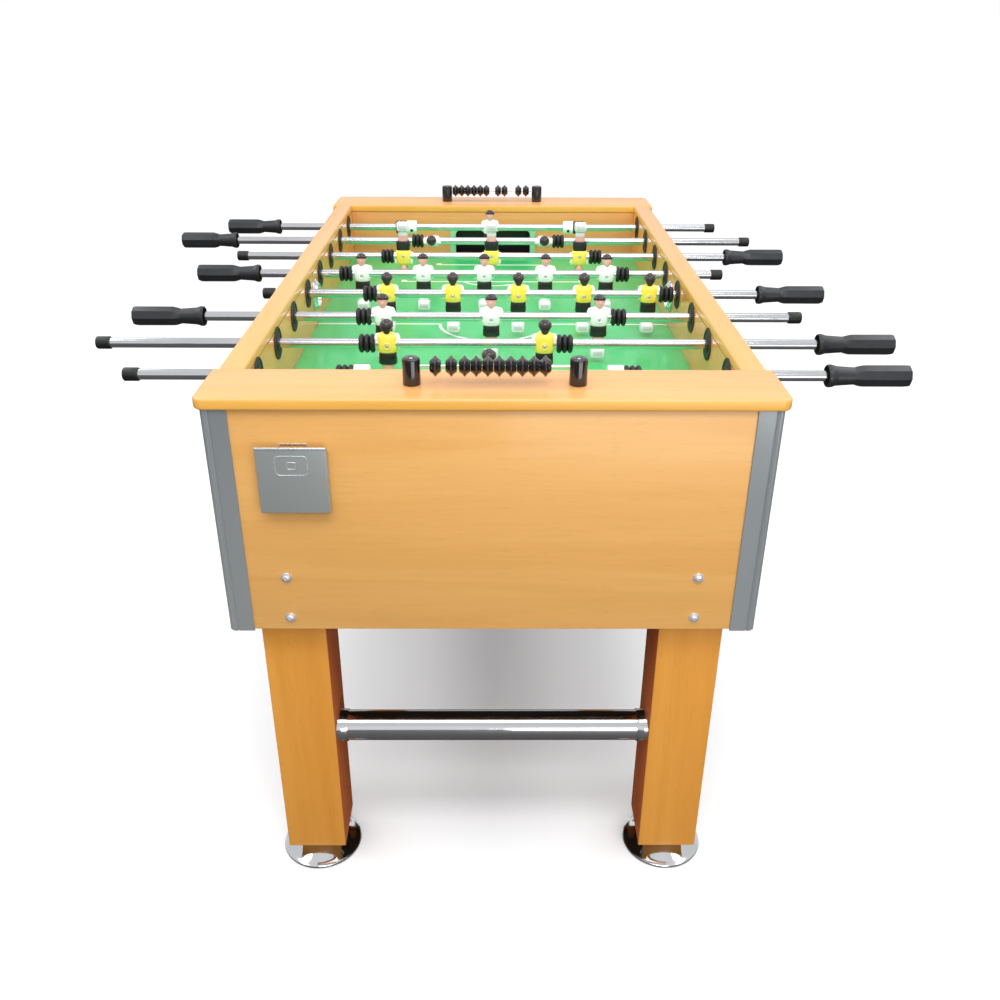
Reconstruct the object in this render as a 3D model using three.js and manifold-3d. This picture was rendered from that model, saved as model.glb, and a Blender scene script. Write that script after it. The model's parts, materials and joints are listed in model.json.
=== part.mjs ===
// Foosball table with eight rods, in millimetres.
// +Z is up, +Y runs along the length of the table away from the tray end, +X is to the right of
// a player who stands at the tray end. The origin is the middle of the playing surface.

import * as THREE from 'three';
import { mergeVertices } from 'three/addons/utils/BufferGeometryUtils.js';
import Module from 'manifold-3d';

const wasm = await Module();
wasm.setup();

// ---------------------------------------------------------------- driving dimensions

const GAP = 0.3; // between pieces that touch

// cabinet
const FLOOR_Z = -740;
const WELL_HALF_WIDTH = 342.5;
const WELL_HALF_LENGTH = 578;
const SIDE_THICKNESS = 32;
const END_THICKNESS = 28;
const END_FACE = 686; // outer face of each end panel
const PANEL_BOTTOM = -242;
const FIELD_THICKNESS = 12;
const GOAL_WALL_THICKNESS = 15;

// rails along the top
const RAIL_TOP = 116;
const RAIL_THICKNESS = 16;
const SIDE_RAIL_WIDTH = 36;
const END_RAIL_HALF_WIDTH = 387;
const END_RAIL_FACE = 693;
const END_RAIL_CORNER = 16;

// corner guards
const GUARD_THICKNESS = 3.5;
const GUARD_FLANGE = 35;
const GUARD_CORNER = 7;

// legs, feet and braces
const LEG_WIDTH = 95;
const LEG_TOP = -130;
const LEG_BOTTOM = -705;
const FOOT_RADIUS = 66;
const STEM_RADIUS = 6;
const STEM_LENGTH = 30;
const BRACE_RADIUS = 24;
const BRACE_Z = -469;
const BRACE_SETBACK = 30; // brace centre behind the leg's outer face

// goals and the ball return behind them
const GOAL_HALF_WIDTH = 91;
const GOAL_HEIGHT = 58;
const GOAL_CORNER = 12;
const GOAL_RIM = 13;
const GOAL_SKIN = 2.2;
const CHUTE_WALL = 3;
const CHUTE_FRONT = 594;
const CHUTE_BACK = 644;
const CHUTE_HIGH = -45;
const CHUTE_LOW = -80;
const CHUTE_DEPTH = 38;
const CHUTE_LIP = 14; // stops the ball at the outlet
const CHUTE_CLEARANCE = 1; // between a chute and the panel it passes through
const OUTLET_ROOM = 6; // above the chute, for the ball

// ball serve cups in the middle of each side
const CUP_Z = 57;
const CUP_FLANGE_RADIUS = 30;
const CUP_OUTER_RADIUS = 23;
const CUP_INNER_RADIUS = 20;
const CUP_STANDOFF = 9;

// rods
const ROD_SPACING = 144;
const ROD_Z = 80;
const ROD_RADIUS = 7.95;
const ROD_HOLE_RADIUS = 9.2;
const ROD_FIT_RADIUS = 8.5; // bore of what sits round a rod
const HANDLE_LENGTH = 122;
const HANDLE_TIP_SOLID = 25; // beyond the end of the rod
const CAP_RADIUS = 10;
const CAP_LENGTH = 23;
const BUMPER_RADIUS = 15;
const BUMPER_LENGTH = 26;
const COLLAR_RADIUS = 15;
const COLLAR_LENGTH = 23.5;
const GOALIE_COLLAR = 185; // from the goalkeeper to each stop collar

// scorers
const SCORER_Y = 636;
const POST_HALF_SPACING = 110.2;
const SCORER_OFFSET = -2.5; // of the posts' middle, seen from that end's own side
const POST_RADIUS = 12;
const POST_HEIGHT = 36;
const WIRE_RISE = 25;
const WIRE_RADIUS = 1.7;
const BEAD_RADIUS = 14;
const BEAD_PITCH = 15.2;
const BEAD_BORE = 2.3;
const BEAD_SLEEVE_RADIUS = 4;

// tray that hangs on the front panel
const TRAY_LEFT = -311;
const TRAY_RIGHT = -217.5;
const TRAY_TOP = 51.5;
const TRAY_BOTTOM = -45;
const TRAY_DEPTH = 14;
const TRAY_SHEET = 1.6;

// worked out from the dimensions above
const SIDE_FACE = WELL_HALF_WIDTH + SIDE_THICKNESS;
const END_INNER = END_FACE - END_THICKNESS;
const RAIL_UNDER = RAIL_TOP - RAIL_THICKNESS;
const GOAL_WALL_BACK = WELL_HALF_LENGTH + GOAL_WALL_THICKNESS;
const RIM_BACK = WELL_HALF_LENGTH - GAP;
const RIM_FRONT = RIM_BACK - GOAL_SKIN;
const LEG_OUTER_X = WELL_HALF_WIDTH - GAP;
const LEG_OUTER_Y = END_INNER - GAP;
const LEG_X = LEG_OUTER_X - LEG_WIDTH / 2;
const LEG_Y = LEG_OUTER_Y - LEG_WIDTH / 2;
const WIRE_Z = RAIL_TOP + WIRE_RISE;

// Each kind of rod: where its men stand, counted from the middle of the rod, and how far the
// outer faces of the bumpers, the handle and the end cap are from that middle.
const GOALIE_ROD = { men: [0], bumper: 223, handleTip: 617, capTip: 533, collars: true };
const DEFENCE_ROD = { men: [-125, 125], bumper: 170, handleTip: 682, capTip: 586 };
const MIDFIELD_ROD = { men: [-242, -121, 0, 121, 242], bumper: 286.5, handleTip: 565, capTip: 472 };
const ATTACK_ROD = { men: [-185.5, 0, 185.5], bumper: 232, handleTip: 614, capTip: 535 };

// The rods from the tray end to the far end. shift is how far the rod is pushed along X,
// and turn is how far its men are swung about the rod, in degrees.
const RODS = [
  { name: 'yellow_goalie', team: 'yellow', kind: GOALIE_ROD, shift: -6, turn: 0 },
  { name: 'yellow_defence', team: 'yellow', kind: DEFENCE_ROD, shift: -43, turn: 0 },
  { name: 'white_attack', team: 'white', kind: ATTACK_ROD, shift: -3, turn: 0 },
  { name: 'yellow_midfield', team: 'yellow', kind: MIDFIELD_ROD, shift: 47, turn: 0 },
  { name: 'white_midfield', team: 'white', kind: MIDFIELD_ROD, shift: -17, turn: 0 },
  { name: 'yellow_attack', team: 'yellow', kind: ATTACK_ROD, shift: -3, turn: 180 },
  { name: 'white_defence', team: 'white', kind: DEFENCE_ROD, shift: -11, turn: 77 },
  { name: 'white_goalie', team: 'white', kind: GOALIE_ROD, shift: -7, turn: 0 },
];

// ---------------------------------------------------------------- materials

function finish(color, roughness, metalness) {
  return new THREE.MeshStandardMaterial({ color, roughness, metalness });
}

const BEECH = finish('#e0a45c', 0.5, 0);
const RAIL_WOOD = finish('#fbc878', 0.45, 0);
const LEG_WOOD = finish('#d28c33', 0.5, 0);
const FIELD_GREEN = finish('#4fc07a', 0.6, 0);
const GOAL_GREEN = finish('#8fcfa2', 0.4, 0);
const CHROME = finish('#d8dadc', 0.15, 1);
const STEEL = finish('#b9bcbf', 0.35, 1);
const BLACK_PLASTIC = finish('#2a2a2c', 0.45, 0);
const BLACK_RUBBER = finish('#222223', 0.8, 0);
const YELLOW_PLASTIC = finish('#ffe92a', 0.4, 0);
const WHITE_PLASTIC = finish('#f4f4f2', 0.4, 0);

// ---------------------------------------------------------------- solids

// A closed three.js geometry as a solid that can be joined and cut.
function solidOf(geometry) {
  const bare = geometry.clone();
  bare.deleteAttribute('normal');
  bare.deleteAttribute('uv');
  const merged = mergeVertices(bare, 1e-3);
  const corners = merged.index.array;
  const kept = [];
  for (let i = 0; i < corners.length; i += 3) {
    const [a, b, c] = [corners[i], corners[i + 1], corners[i + 2]];
    if (a !== b && b !== c && c !== a) kept.push(a, b, c);
  }
  const vertProperties = new Float32Array(merged.attributes.position.array);
  const triVerts = new Uint32Array(kept);
  return new wasm.Manifold(new wasm.Mesh({ numProp: 3, vertProperties, triVerts }));
}

function join(...solids) {
  return solids.reduce((whole, next) => whole.add(next));
}

function cut(solid, ...tools) {
  return tools.reduce((left, tool) => left.subtract(tool), solid);
}

function block(x0, x1, y0, y1, z0, z1) {
  const geometry = new THREE.BoxGeometry(x1 - x0, y1 - y0, z1 - z0);
  geometry.translate((x0 + x1) / 2, (y0 + y1) / 2, (z0 + z1) / 2);
  return solidOf(geometry);
}

// A round bar along X.
function barX(radius, x0, x1, sides, y = 0, z = 0) {
  const geometry = new THREE.CylinderGeometry(radius, radius, x1 - x0, sides);
  geometry.rotateZ(Math.PI / 2);
  geometry.translate((x0 + x1) / 2, y, z);
  return solidOf(geometry);
}

// A profile of [radius, distance along the axis] points, turned about Z or about X.
function turned(profile, sides, axis = 'z') {
  const points = profile.map(([radius, along]) => new THREE.Vector2(radius, along));
  const geometry = new THREE.LatheGeometry(points, sides);
  if (axis === 'z') geometry.rotateX(Math.PI / 2);
  if (axis === 'x') geometry.rotateZ(-Math.PI / 2);
  return geometry;
}

// A flat outline in X and Y, raised along Z.
function slab(shape, z0, z1) {
  const geometry = new THREE.ExtrudeGeometry(shape, { depth: z1 - z0, bevelEnabled: false, curveSegments: 4 });
  geometry.translate(0, 0, z0);
  return solidOf(geometry);
}

// A flat outline in X and Z, deepened along Y.
function board(shape, y0, y1) {
  const geometry = new THREE.ExtrudeGeometry(shape, { depth: y1 - y0, bevelEnabled: false, curveSegments: 4 });
  geometry.rotateX(Math.PI / 2);
  geometry.translate(0, y1, 0);
  return solidOf(geometry);
}

// An arch: flat at the bottom, round at its two top corners.
function arch(halfWidth, bottom, top, corner) {
  const shape = new THREE.Shape();
  shape.moveTo(-halfWidth, bottom);
  shape.lineTo(halfWidth, bottom);
  shape.lineTo(halfWidth, top - corner);
  shape.absarc(halfWidth - corner, top - corner, corner, 0, Math.PI / 2, false);
  shape.lineTo(-halfWidth + corner, top);
  shape.absarc(-halfWidth + corner, top - corner, corner, Math.PI / 2, Math.PI, false);
  return shape;
}

function part(name, solid, material) {
  const { vertProperties, triVerts } = solid.getMesh();
  const geometry = new THREE.BufferGeometry();
  geometry.setAttribute('position', new THREE.BufferAttribute(new Float32Array(vertProperties), 3));
  geometry.setIndex(new THREE.BufferAttribute(new Uint32Array(triVerts), 1));
  geometry.computeVertexNormals();
  const mesh = new THREE.Mesh(geometry, material);
  mesh.name = name;
  return mesh;
}

const table = new THREE.Group();

// Things at both ends of the table are built at the far end and turned half round for the front.
const ENDS = [
  { name: 'front', turn: Math.PI },
  { name: 'rear', turn: 0 },
];

const SIDES = [
  { name: 'left', sign: -1 },
  { name: 'right', sign: 1 },
];

function rodY(index) {
  return (index - (RODS.length - 1) / 2) * ROD_SPACING;
}

// ---------------------------------------------------------------- cabinet

// Both side panels have a row of rod holes and a serve hole. The ball return comes out near the
// far end on the right, and near the front end on the left.
function sidePanel(sign) {
  const [x0, x1] = sign < 0 ? [-SIDE_FACE, -WELL_HALF_WIDTH] : [WELL_HALF_WIDTH, SIDE_FACE];
  const panel = block(x0, x1, -END_INNER + GAP, END_INNER - GAP, PANEL_BOTTOM, RAIL_UNDER - GAP);
  const holes = RODS.map((rod, index) => barX(ROD_HOLE_RADIUS, x0 - 1, x1 + 1, 12, rodY(index), ROD_Z));
  holes.push(barX(CUP_OUTER_RADIUS + 1, x0 - 1, x1 + 1, 16, 0, CUP_Z));
  const near = (CHUTE_FRONT - CHUTE_CLEARANCE) * sign;
  const far = (CHUTE_BACK + CHUTE_CLEARANCE) * sign;
  const outletBottom = CHUTE_LOW - CHUTE_WALL - CHUTE_CLEARANCE;
  const outletTop = CHUTE_LOW + CHUTE_DEPTH + OUTLET_ROOM;
  holes.push(block(x0 - 1, x1 + 1, Math.min(near, far), Math.max(near, far), outletBottom, outletTop));
  return cut(panel, ...holes);
}

for (const { name, sign } of SIDES) {
  table.add(part(`${name}_side_panel`, sidePanel(sign), BEECH));
  const inner = WELL_HALF_WIDTH * sign;
  const outer = (WELL_HALF_WIDTH + SIDE_RAIL_WIDTH) * sign;
  const length = WELL_HALF_LENGTH - GAP;
  const rail = block(Math.min(inner, outer), Math.max(inner, outer), -length, length, RAIL_UNDER, RAIL_TOP);
  table.add(part(`${name}_side_rail`, rail, RAIL_WOOD));
}

function endRail() {
  const shape = new THREE.Shape();
  const corner = END_RAIL_CORNER;
  shape.moveTo(-END_RAIL_HALF_WIDTH, WELL_HALF_LENGTH);
  shape.lineTo(END_RAIL_HALF_WIDTH, WELL_HALF_LENGTH);
  shape.lineTo(END_RAIL_HALF_WIDTH, END_RAIL_FACE - corner);
  shape.absarc(END_RAIL_HALF_WIDTH - corner, END_RAIL_FACE - corner, corner, 0, Math.PI / 2, false);
  shape.lineTo(-END_RAIL_HALF_WIDTH + corner, END_RAIL_FACE);
  shape.absarc(-END_RAIL_HALF_WIDTH + corner, END_RAIL_FACE - corner, corner, Math.PI / 2, Math.PI, false);
  return slab(shape, RAIL_UNDER, RAIL_TOP);
}

// The wall across the end of the well. It comes down past the edge of the field board, so it is
// also the floor of the goal mouth.
function goalWall() {
  const width = WELL_HALF_WIDTH - GAP;
  const wall = block(-width, width, WELL_HALF_LENGTH, GOAL_WALL_BACK, -FIELD_THICKNESS, RAIL_UNDER - GAP);
  const room = GOAL_SKIN + GAP;
  const mouth = arch(GOAL_HALF_WIDTH + room, 0, GOAL_HEIGHT + room, GOAL_CORNER);
  return cut(wall, board(mouth, WELL_HALF_LENGTH - 1, GOAL_WALL_BACK + 1));
}

// The goal: a rim on the wall, a sleeve through it, a box behind it, and the chute that carries
// the ball sideways and down to the outlet in the side panel.
function goal() {
  const opening = arch(GOAL_HALF_WIDTH, -1, GOAL_HEIGHT, GOAL_CORNER);
  const rimOutline = arch(GOAL_HALF_WIDTH + GOAL_RIM, GAP, GOAL_HEIGHT + GOAL_RIM, GOAL_CORNER + 6);
  const sleeveOutline = arch(GOAL_HALF_WIDTH + GOAL_SKIN, GAP, GOAL_HEIGHT + GOAL_SKIN, GOAL_CORNER);
  const rim = board(rimOutline, RIM_FRONT, RIM_BACK);
  const sleeve = board(sleeveOutline, RIM_FRONT, CHUTE_FRONT + 1);
  const boxHalf = GOAL_HALF_WIDTH + GOAL_RIM;
  const boxTop = GOAL_HEIGHT + GOAL_RIM;
  const box = block(-boxHalf, boxHalf, CHUTE_FRONT, CHUTE_BACK, CHUTE_HIGH, boxTop);

  const slope = new THREE.Shape();
  slope.moveTo(-boxHalf, CHUTE_HIGH - CHUTE_WALL);
  slope.lineTo(SIDE_FACE, CHUTE_LOW - CHUTE_WALL);
  slope.lineTo(SIDE_FACE, CHUTE_LOW + CHUTE_DEPTH);
  slope.lineTo(boxHalf, CHUTE_HIGH + CHUTE_DEPTH / 2);
  slope.lineTo(-boxHalf, CHUTE_HIGH + CHUTE_DEPTH / 2);
  const chute = board(slope, CHUTE_FRONT, CHUTE_BACK);

  const channel = new THREE.Shape();
  const lipInner = SIDE_FACE - CHUTE_WALL;
  channel.moveTo(-boxHalf + CHUTE_WALL, CHUTE_HIGH);
  channel.lineTo(lipInner, CHUTE_LOW);
  channel.lineTo(lipInner, CHUTE_LOW + CHUTE_LIP);
  channel.lineTo(SIDE_FACE + 1, CHUTE_LOW + CHUTE_LIP);
  channel.lineTo(SIDE_FACE + 1, 0);
  channel.lineTo(boxHalf - CHUTE_WALL, 0);
  channel.lineTo(boxHalf - CHUTE_WALL, boxTop - CHUTE_WALL);
  channel.lineTo(-boxHalf + CHUTE_WALL, boxTop - CHUTE_WALL);
  const hollow = board(channel, CHUTE_FRONT + CHUTE_WALL, CHUTE_BACK - CHUTE_WALL);
  const mouth = board(opening, RIM_FRONT - 1, CHUTE_FRONT + CHUTE_WALL + 1);
  return cut(join(rim, sleeve, box, chute), mouth, hollow);
}

for (const { name, turn } of ENDS) {
  const end = new THREE.Group();
  end.rotation.z = turn;
  const panel = block(-SIDE_FACE, SIDE_FACE, END_INNER, END_FACE, PANEL_BOTTOM, RAIL_UNDER - GAP);
  end.add(part(`${name}_panel`, panel, BEECH));
  end.add(part(`${name}_rail`, endRail(), RAIL_WOOD));
  end.add(part(`${name}_goal_wall`, goalWall(), BEECH));
  end.add(part(`${name}_goal`, goal(), GOAL_GREEN));
  table.add(end);
}

const fieldWidth = WELL_HALF_WIDTH - GAP;
const fieldLength = RIM_FRONT - GAP;
const field = block(-fieldWidth, fieldWidth, -fieldLength, fieldLength, -FIELD_THICKNESS, 0);
table.add(part('playfield', field, FIELD_GREEN));

// ---------------------------------------------------------------- corners, legs and braces

const CORNERS = [
  { name: 'front_left', x: -1, y: -1 },
  { name: 'front_right', x: 1, y: -1 },
  { name: 'rear_left', x: -1, y: 1 },
  { name: 'rear_right', x: 1, y: 1 },
];

// An angle strip round a vertical edge of the cabinet, drawn for the rear right corner.
function cornerGuard() {
  const insideX = SIDE_FACE + GAP;
  const insideY = END_FACE + GAP;
  const outsideX = SIDE_FACE + GAP + GUARD_THICKNESS;
  const outsideY = END_FACE + GAP + GUARD_THICKNESS;
  const shape = new THREE.Shape();
  shape.moveTo(outsideX, outsideY - GUARD_FLANGE);
  shape.lineTo(outsideX, outsideY - GUARD_CORNER);
  shape.absarc(outsideX - GUARD_CORNER, outsideY - GUARD_CORNER, GUARD_CORNER, 0, Math.PI / 2, false);
  shape.lineTo(outsideX - GUARD_FLANGE, outsideY);
  shape.lineTo(outsideX - GUARD_FLANGE, insideY);
  shape.lineTo(insideX, insideY);
  shape.lineTo(insideX, outsideY - GUARD_FLANGE);
  return slab(shape, PANEL_BOTTOM, RAIL_UNDER - GAP);
}

function leg() {
  const half = LEG_WIDTH / 2;
  const post = block(LEG_X - half, LEG_X + half, LEG_Y - half, LEG_Y + half, LEG_BOTTOM, LEG_TOP);
  const bore = new THREE.CylinderGeometry(STEM_RADIUS + 1, STEM_RADIUS + 1, 2 * (STEM_LENGTH + 5), 12);
  bore.rotateX(Math.PI / 2);
  bore.translate(LEG_X, LEG_Y, LEG_BOTTOM);
  return cut(post, solidOf(bore));
}

// A dished foot with a boss, on a threaded stem that goes up into the leg.
function leveller() {
  const profile = [
    [0, FLOOR_Z],
    [FOOT_RADIUS - 4, FLOOR_Z],
    [FOOT_RADIUS, FLOOR_Z + 3],
    [FOOT_RADIUS, FLOOR_Z + 6],
    [FOOT_RADIUS - 14, FLOOR_Z + 13],
    [26, FLOOR_Z + 17],
    [22, LEG_BOTTOM - 5],
    [20, LEG_BOTTOM - GAP],
    [STEM_RADIUS, LEG_BOTTOM - GAP],
    [STEM_RADIUS, LEG_BOTTOM + STEM_LENGTH],
    [0, LEG_BOTTOM + STEM_LENGTH],
  ];
  const geometry = turned(profile, 16);
  geometry.translate(LEG_X, LEG_Y, 0);
  return solidOf(geometry);
}

for (const { name, x, y } of CORNERS) {
  const mirrored = (solid) => solid.scale([x, y, 1]);
  table.add(part(`${name}_corner_guard`, mirrored(cornerGuard()), CHROME));
  table.add(part(`${name}_leg`, mirrored(leg()), LEG_WOOD));
  table.add(part(`${name}_leveller`, mirrored(leveller()), CHROME));
}

for (const { name, turn } of ENDS) {
  const half = LEG_OUTER_X - LEG_WIDTH - GAP;
  const y = (LEG_OUTER_Y - BRACE_SETBACK) * Math.cos(turn);
  table.add(part(`${name}_brace`, barX(BRACE_RADIUS, -half, half, 20, y, BRACE_Z), CHROME));
}

// ---------------------------------------------------------------- serve cups, scorers, tray

for (const { name, sign } of SIDES) {
  const inner = WELL_HALF_WIDTH - CUP_STANDOFF;
  const profile = [
    [CUP_INNER_RADIUS, inner],
    [CUP_INNER_RADIUS + 3, inner],
    [CUP_FLANGE_RADIUS - 4, WELL_HALF_WIDTH - 4],
    [CUP_FLANGE_RADIUS, WELL_HALF_WIDTH - 3],
    [CUP_FLANGE_RADIUS, WELL_HALF_WIDTH - GAP],
    [CUP_OUTER_RADIUS, WELL_HALF_WIDTH - GAP],
    [CUP_OUTER_RADIUS, SIDE_FACE],
    [CUP_INNER_RADIUS, SIDE_FACE],
    [CUP_INNER_RADIUS, inner],
  ];
  const geometry = turned(profile, 16, 'x');
  geometry.translate(0, 0, CUP_Z);
  const cup = solidOf(geometry);
  table.add(part(`${name}_serve_cup`, sign > 0 ? cup : cup.rotate([0, 0, 180]), CHROME));
}

function scorer() {
  const ends = [SCORER_OFFSET - POST_HALF_SPACING, SCORER_OFFSET + POST_HALF_SPACING];
  const posts = ends.map((x) => {
    const geometry = new THREE.CylinderGeometry(POST_RADIUS, POST_RADIUS, POST_HEIGHT, 16);
    geometry.rotateX(Math.PI / 2);
    geometry.translate(x, SCORER_Y, RAIL_TOP + GAP + POST_HEIGHT / 2);
    return solidOf(geometry);
  });
  return join(...posts, barX(WIRE_RADIUS, ends[0], ends[1], 8, SCORER_Y, WIRE_Z));
}

// A row of counting beads, the first one centred on X = 0. They are held together by a thin
// sleeve round the wire.
function beads(places) {
  const half = BEAD_PITCH / 2 + 0.05;
  const solids = places.map((x) => {
    const profile = [
      [0, x - half],
      [6, x - half],
      [BEAD_RADIUS, x],
      [6, x + half],
      [0, x + half],
    ];
    return solidOf(turned(profile, 8, 'x'));
  });
  const last = places[places.length - 1];
  if (last > 0) solids.push(barX(BEAD_SLEEVE_RADIUS, 0, last, 8));
  return cut(join(...solids), barX(BEAD_BORE, -half - 1, last + half + 1, 8));
}

function beadRow(count, first = 0) {
  return Array.from({ length: count }, (unused, index) => first + index * BEAD_PITCH);
}

const BEAD_GROUPS = [
  { name: 'front_score_bead', end: -1, start: -76, places: beadRow(1) },
  { name: 'front_score_bead_stack', end: -1, start: -55, places: [0, ...beadRow(8, 17.6)] },
  { name: 'rear_score_bead_stack', end: 1, start: -92, places: beadRow(6) },
  { name: 'rear_score_bead_pairs', end: 1, start: 12.5, places: [0, 16, 50, 68.6] },
];

for (const { name, turn } of ENDS) {
  const holder = part(`${name}_scorer`, scorer(), BLACK_PLASTIC);
  holder.rotation.z = turn;
  table.add(holder);
}

for (const { name, end, start, places } of BEAD_GROUPS) {
  const stack = part(name, beads(places), BLACK_PLASTIC);
  stack.position.set(start, SCORER_Y * end, WIRE_Z);
  table.add(stack);
}

// An open-topped sheet steel box.
const trayBack = -END_FACE - GAP;
const trayFront = trayBack - TRAY_DEPTH;
const trayOuter = block(TRAY_LEFT, TRAY_RIGHT, trayFront, trayBack, TRAY_BOTTOM, TRAY_TOP);
const trayInner = block(
  TRAY_LEFT + TRAY_SHEET,
  TRAY_RIGHT - TRAY_SHEET,
  trayFront + TRAY_SHEET,
  trayBack - TRAY_SHEET,
  TRAY_BOTTOM + TRAY_SHEET,
  TRAY_TOP + 1,
);
table.add(part('hanging_tray', cut(trayOuter, trayInner), STEEL));

// ---------------------------------------------------------------- rods, men and handles

// A man upright on a rod that runs along X through the origin.
function man(x) {
  const profile = [
    [0, -57],
    [9.5, -57],
    [9.5, -36],
    [13.5, -32],
    [15, 12],
    [5, 18],
    [5, 22],
    [0, 22],
  ];
  const trunk = turned(profile, 6);
  trunk.scale(1, 0.66, 1);
  const head = new THREE.SphereGeometry(10, 6, 4);
  head.rotateX(Math.PI / 2);
  head.scale(1, 1, 1.1);
  head.translate(0, 0, 28.5);
  const sleeves = block(-18.2, 18.2, -5.5, 5.5, -3, 14);
  const foot = block(-12, 12, -12, 12, -70, -54);
  return join(solidOf(trunk), solidOf(head), sleeves, foot).translate([x, 0, 0]);
}

function rodWithMen(kind) {
  const capInner = -kind.capTip + CAP_LENGTH;
  const pieces = [
    barX(ROD_RADIUS, capInner - 1, kind.handleTip - HANDLE_TIP_SOLID, 10),
    barX(CAP_RADIUS, -kind.capTip, capInner, 10),
    barX(BUMPER_RADIUS, -kind.bumper, -kind.bumper + BUMPER_LENGTH, 10),
    ...kind.men.map(man),
  ];
  if (kind.collars) {
    for (const x of [-GOALIE_COLLAR, GOALIE_COLLAR]) {
      pieces.push(barX(COLLAR_RADIUS, x - COLLAR_LENGTH / 2, x + COLLAR_LENGTH / 2, 12));
    }
  }
  return join(...pieces);
}

// A ribbed rubber ring round the rod, on the handle side of the men.
function bumper(kind) {
  const x1 = kind.bumper;
  const x0 = x1 - BUMPER_LENGTH;
  const rib = BUMPER_LENGTH / 3;
  const profile = [[ROD_FIT_RADIUS, x0]];
  for (let index = 0; index < 3; index += 1) {
    const from = x0 + index * rib;
    profile.push([BUMPER_RADIUS - 3, from]);
    profile.push([BUMPER_RADIUS, from + rib / 2]);
  }
  profile.push([BUMPER_RADIUS - 3, x1]);
  profile.push([ROD_FIT_RADIUS, x1]);
  profile.push([ROD_FIT_RADIUS, x0]);
  return solidOf(turned(profile, 10, 'x'));
}

function handle(kind) {
  const tip = kind.handleTip;
  const start = tip - HANDLE_LENGTH;
  const profile = [
    [0, start],
    [15.5, start],
    [15.5, start + 6],
    [12, start + 18],
    [12, start + 34],
    [16.5, start + 49],
    [16.5, tip - 4],
    [14, tip],
    [0, tip],
  ];
  const bore = barX(ROD_FIT_RADIUS, start - 1, tip - HANDLE_TIP_SOLID + 1, 12);
  return cut(solidOf(turned(profile, 8, 'x')), bore);
}

RODS.forEach(({ name, team, kind, shift, turn }, index) => {
  const slide = new THREE.Group();
  slide.position.set(shift, rodY(index), ROD_Z);
  const spin = new THREE.Group();
  spin.rotation.x = THREE.MathUtils.degToRad(turn);
  const facing = new THREE.Group();
  facing.rotation.z = team === 'white' ? Math.PI : 0;
  const stop = part(`${name}_bumper`, bumper(kind), BLACK_RUBBER);
  stop.rotation.z = team === 'white' ? Math.PI : 0;
  facing.add(part(`${name}_rod`, rodWithMen(kind), team === 'white' ? WHITE_PLASTIC : YELLOW_PLASTIC));
  facing.add(part(`${name}_handle`, handle(kind), BLACK_PLASTIC));
  spin.add(facing);
  slide.add(stop, spin);
  table.add(slide);
});

export default table;
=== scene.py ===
# %% [markdown]
# # A foosball table, piece by piece
# This lesson dresses a finished mechanical model of a foosball table. The mechanical model already
# knows where everything is and how it moves, so it is loaded first and never changed. Around it we
# model the pieces again at full quality: bevelled boards, spun metal and lofted plastic.

# %% Load the mechanical model
import json
import math

import bmesh
import bpy
from mathutils import Matrix, Vector

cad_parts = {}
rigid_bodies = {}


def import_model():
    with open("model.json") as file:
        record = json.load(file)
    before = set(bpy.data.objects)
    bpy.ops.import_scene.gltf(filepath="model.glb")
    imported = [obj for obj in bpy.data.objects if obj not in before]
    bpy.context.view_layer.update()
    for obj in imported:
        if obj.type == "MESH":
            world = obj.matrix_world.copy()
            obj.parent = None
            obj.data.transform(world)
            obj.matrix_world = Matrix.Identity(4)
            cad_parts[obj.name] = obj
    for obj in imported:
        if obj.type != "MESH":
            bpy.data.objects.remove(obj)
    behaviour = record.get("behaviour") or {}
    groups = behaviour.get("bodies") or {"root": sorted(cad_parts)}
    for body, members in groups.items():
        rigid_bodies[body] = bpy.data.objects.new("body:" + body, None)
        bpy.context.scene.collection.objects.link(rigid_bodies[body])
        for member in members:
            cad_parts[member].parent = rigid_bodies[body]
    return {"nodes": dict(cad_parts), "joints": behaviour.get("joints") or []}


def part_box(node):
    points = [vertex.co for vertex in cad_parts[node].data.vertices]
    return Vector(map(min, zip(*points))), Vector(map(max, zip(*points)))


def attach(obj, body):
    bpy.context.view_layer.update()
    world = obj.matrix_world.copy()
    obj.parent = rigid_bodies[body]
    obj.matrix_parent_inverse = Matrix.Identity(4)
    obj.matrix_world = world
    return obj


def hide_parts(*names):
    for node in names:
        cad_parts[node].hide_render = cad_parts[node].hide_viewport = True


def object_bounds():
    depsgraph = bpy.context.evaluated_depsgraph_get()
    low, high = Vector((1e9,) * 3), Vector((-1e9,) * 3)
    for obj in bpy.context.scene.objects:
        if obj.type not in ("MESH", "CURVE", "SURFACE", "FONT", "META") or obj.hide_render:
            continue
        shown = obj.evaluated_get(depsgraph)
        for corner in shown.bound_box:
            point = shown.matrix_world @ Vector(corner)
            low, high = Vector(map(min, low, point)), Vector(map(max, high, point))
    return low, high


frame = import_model()
cad_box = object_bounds()
nodes = frame["nodes"]
scene = bpy.context.scene

# %% [markdown]
# Boxes of the fixed model give the places that the new pieces are built on. Naming them once, here,
# keeps the rest of the lesson readable. They are in metres, and MM turns millimetres into metres.

# %% Places that the whole table hangs on
MM = 0.001
floor_z = cad_box[0].z
front_rail_lo, front_rail_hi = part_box("front_rail")
well_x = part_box("right_side_rail")[0].x
side_face_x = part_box("right_side_panel")[1].x
end_face_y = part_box("rear_panel")[1].y
rail_top = front_rail_hi.z
print("rail top", round(rail_top - floor_z, 3), "m above the floor")

# %% [markdown]
# ## The camera
# The camera stands at the tray end, about half a metre above the rails, and looks down along the
# table. Its place is measured from the front rail and the floor, so it follows the model.

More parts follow.
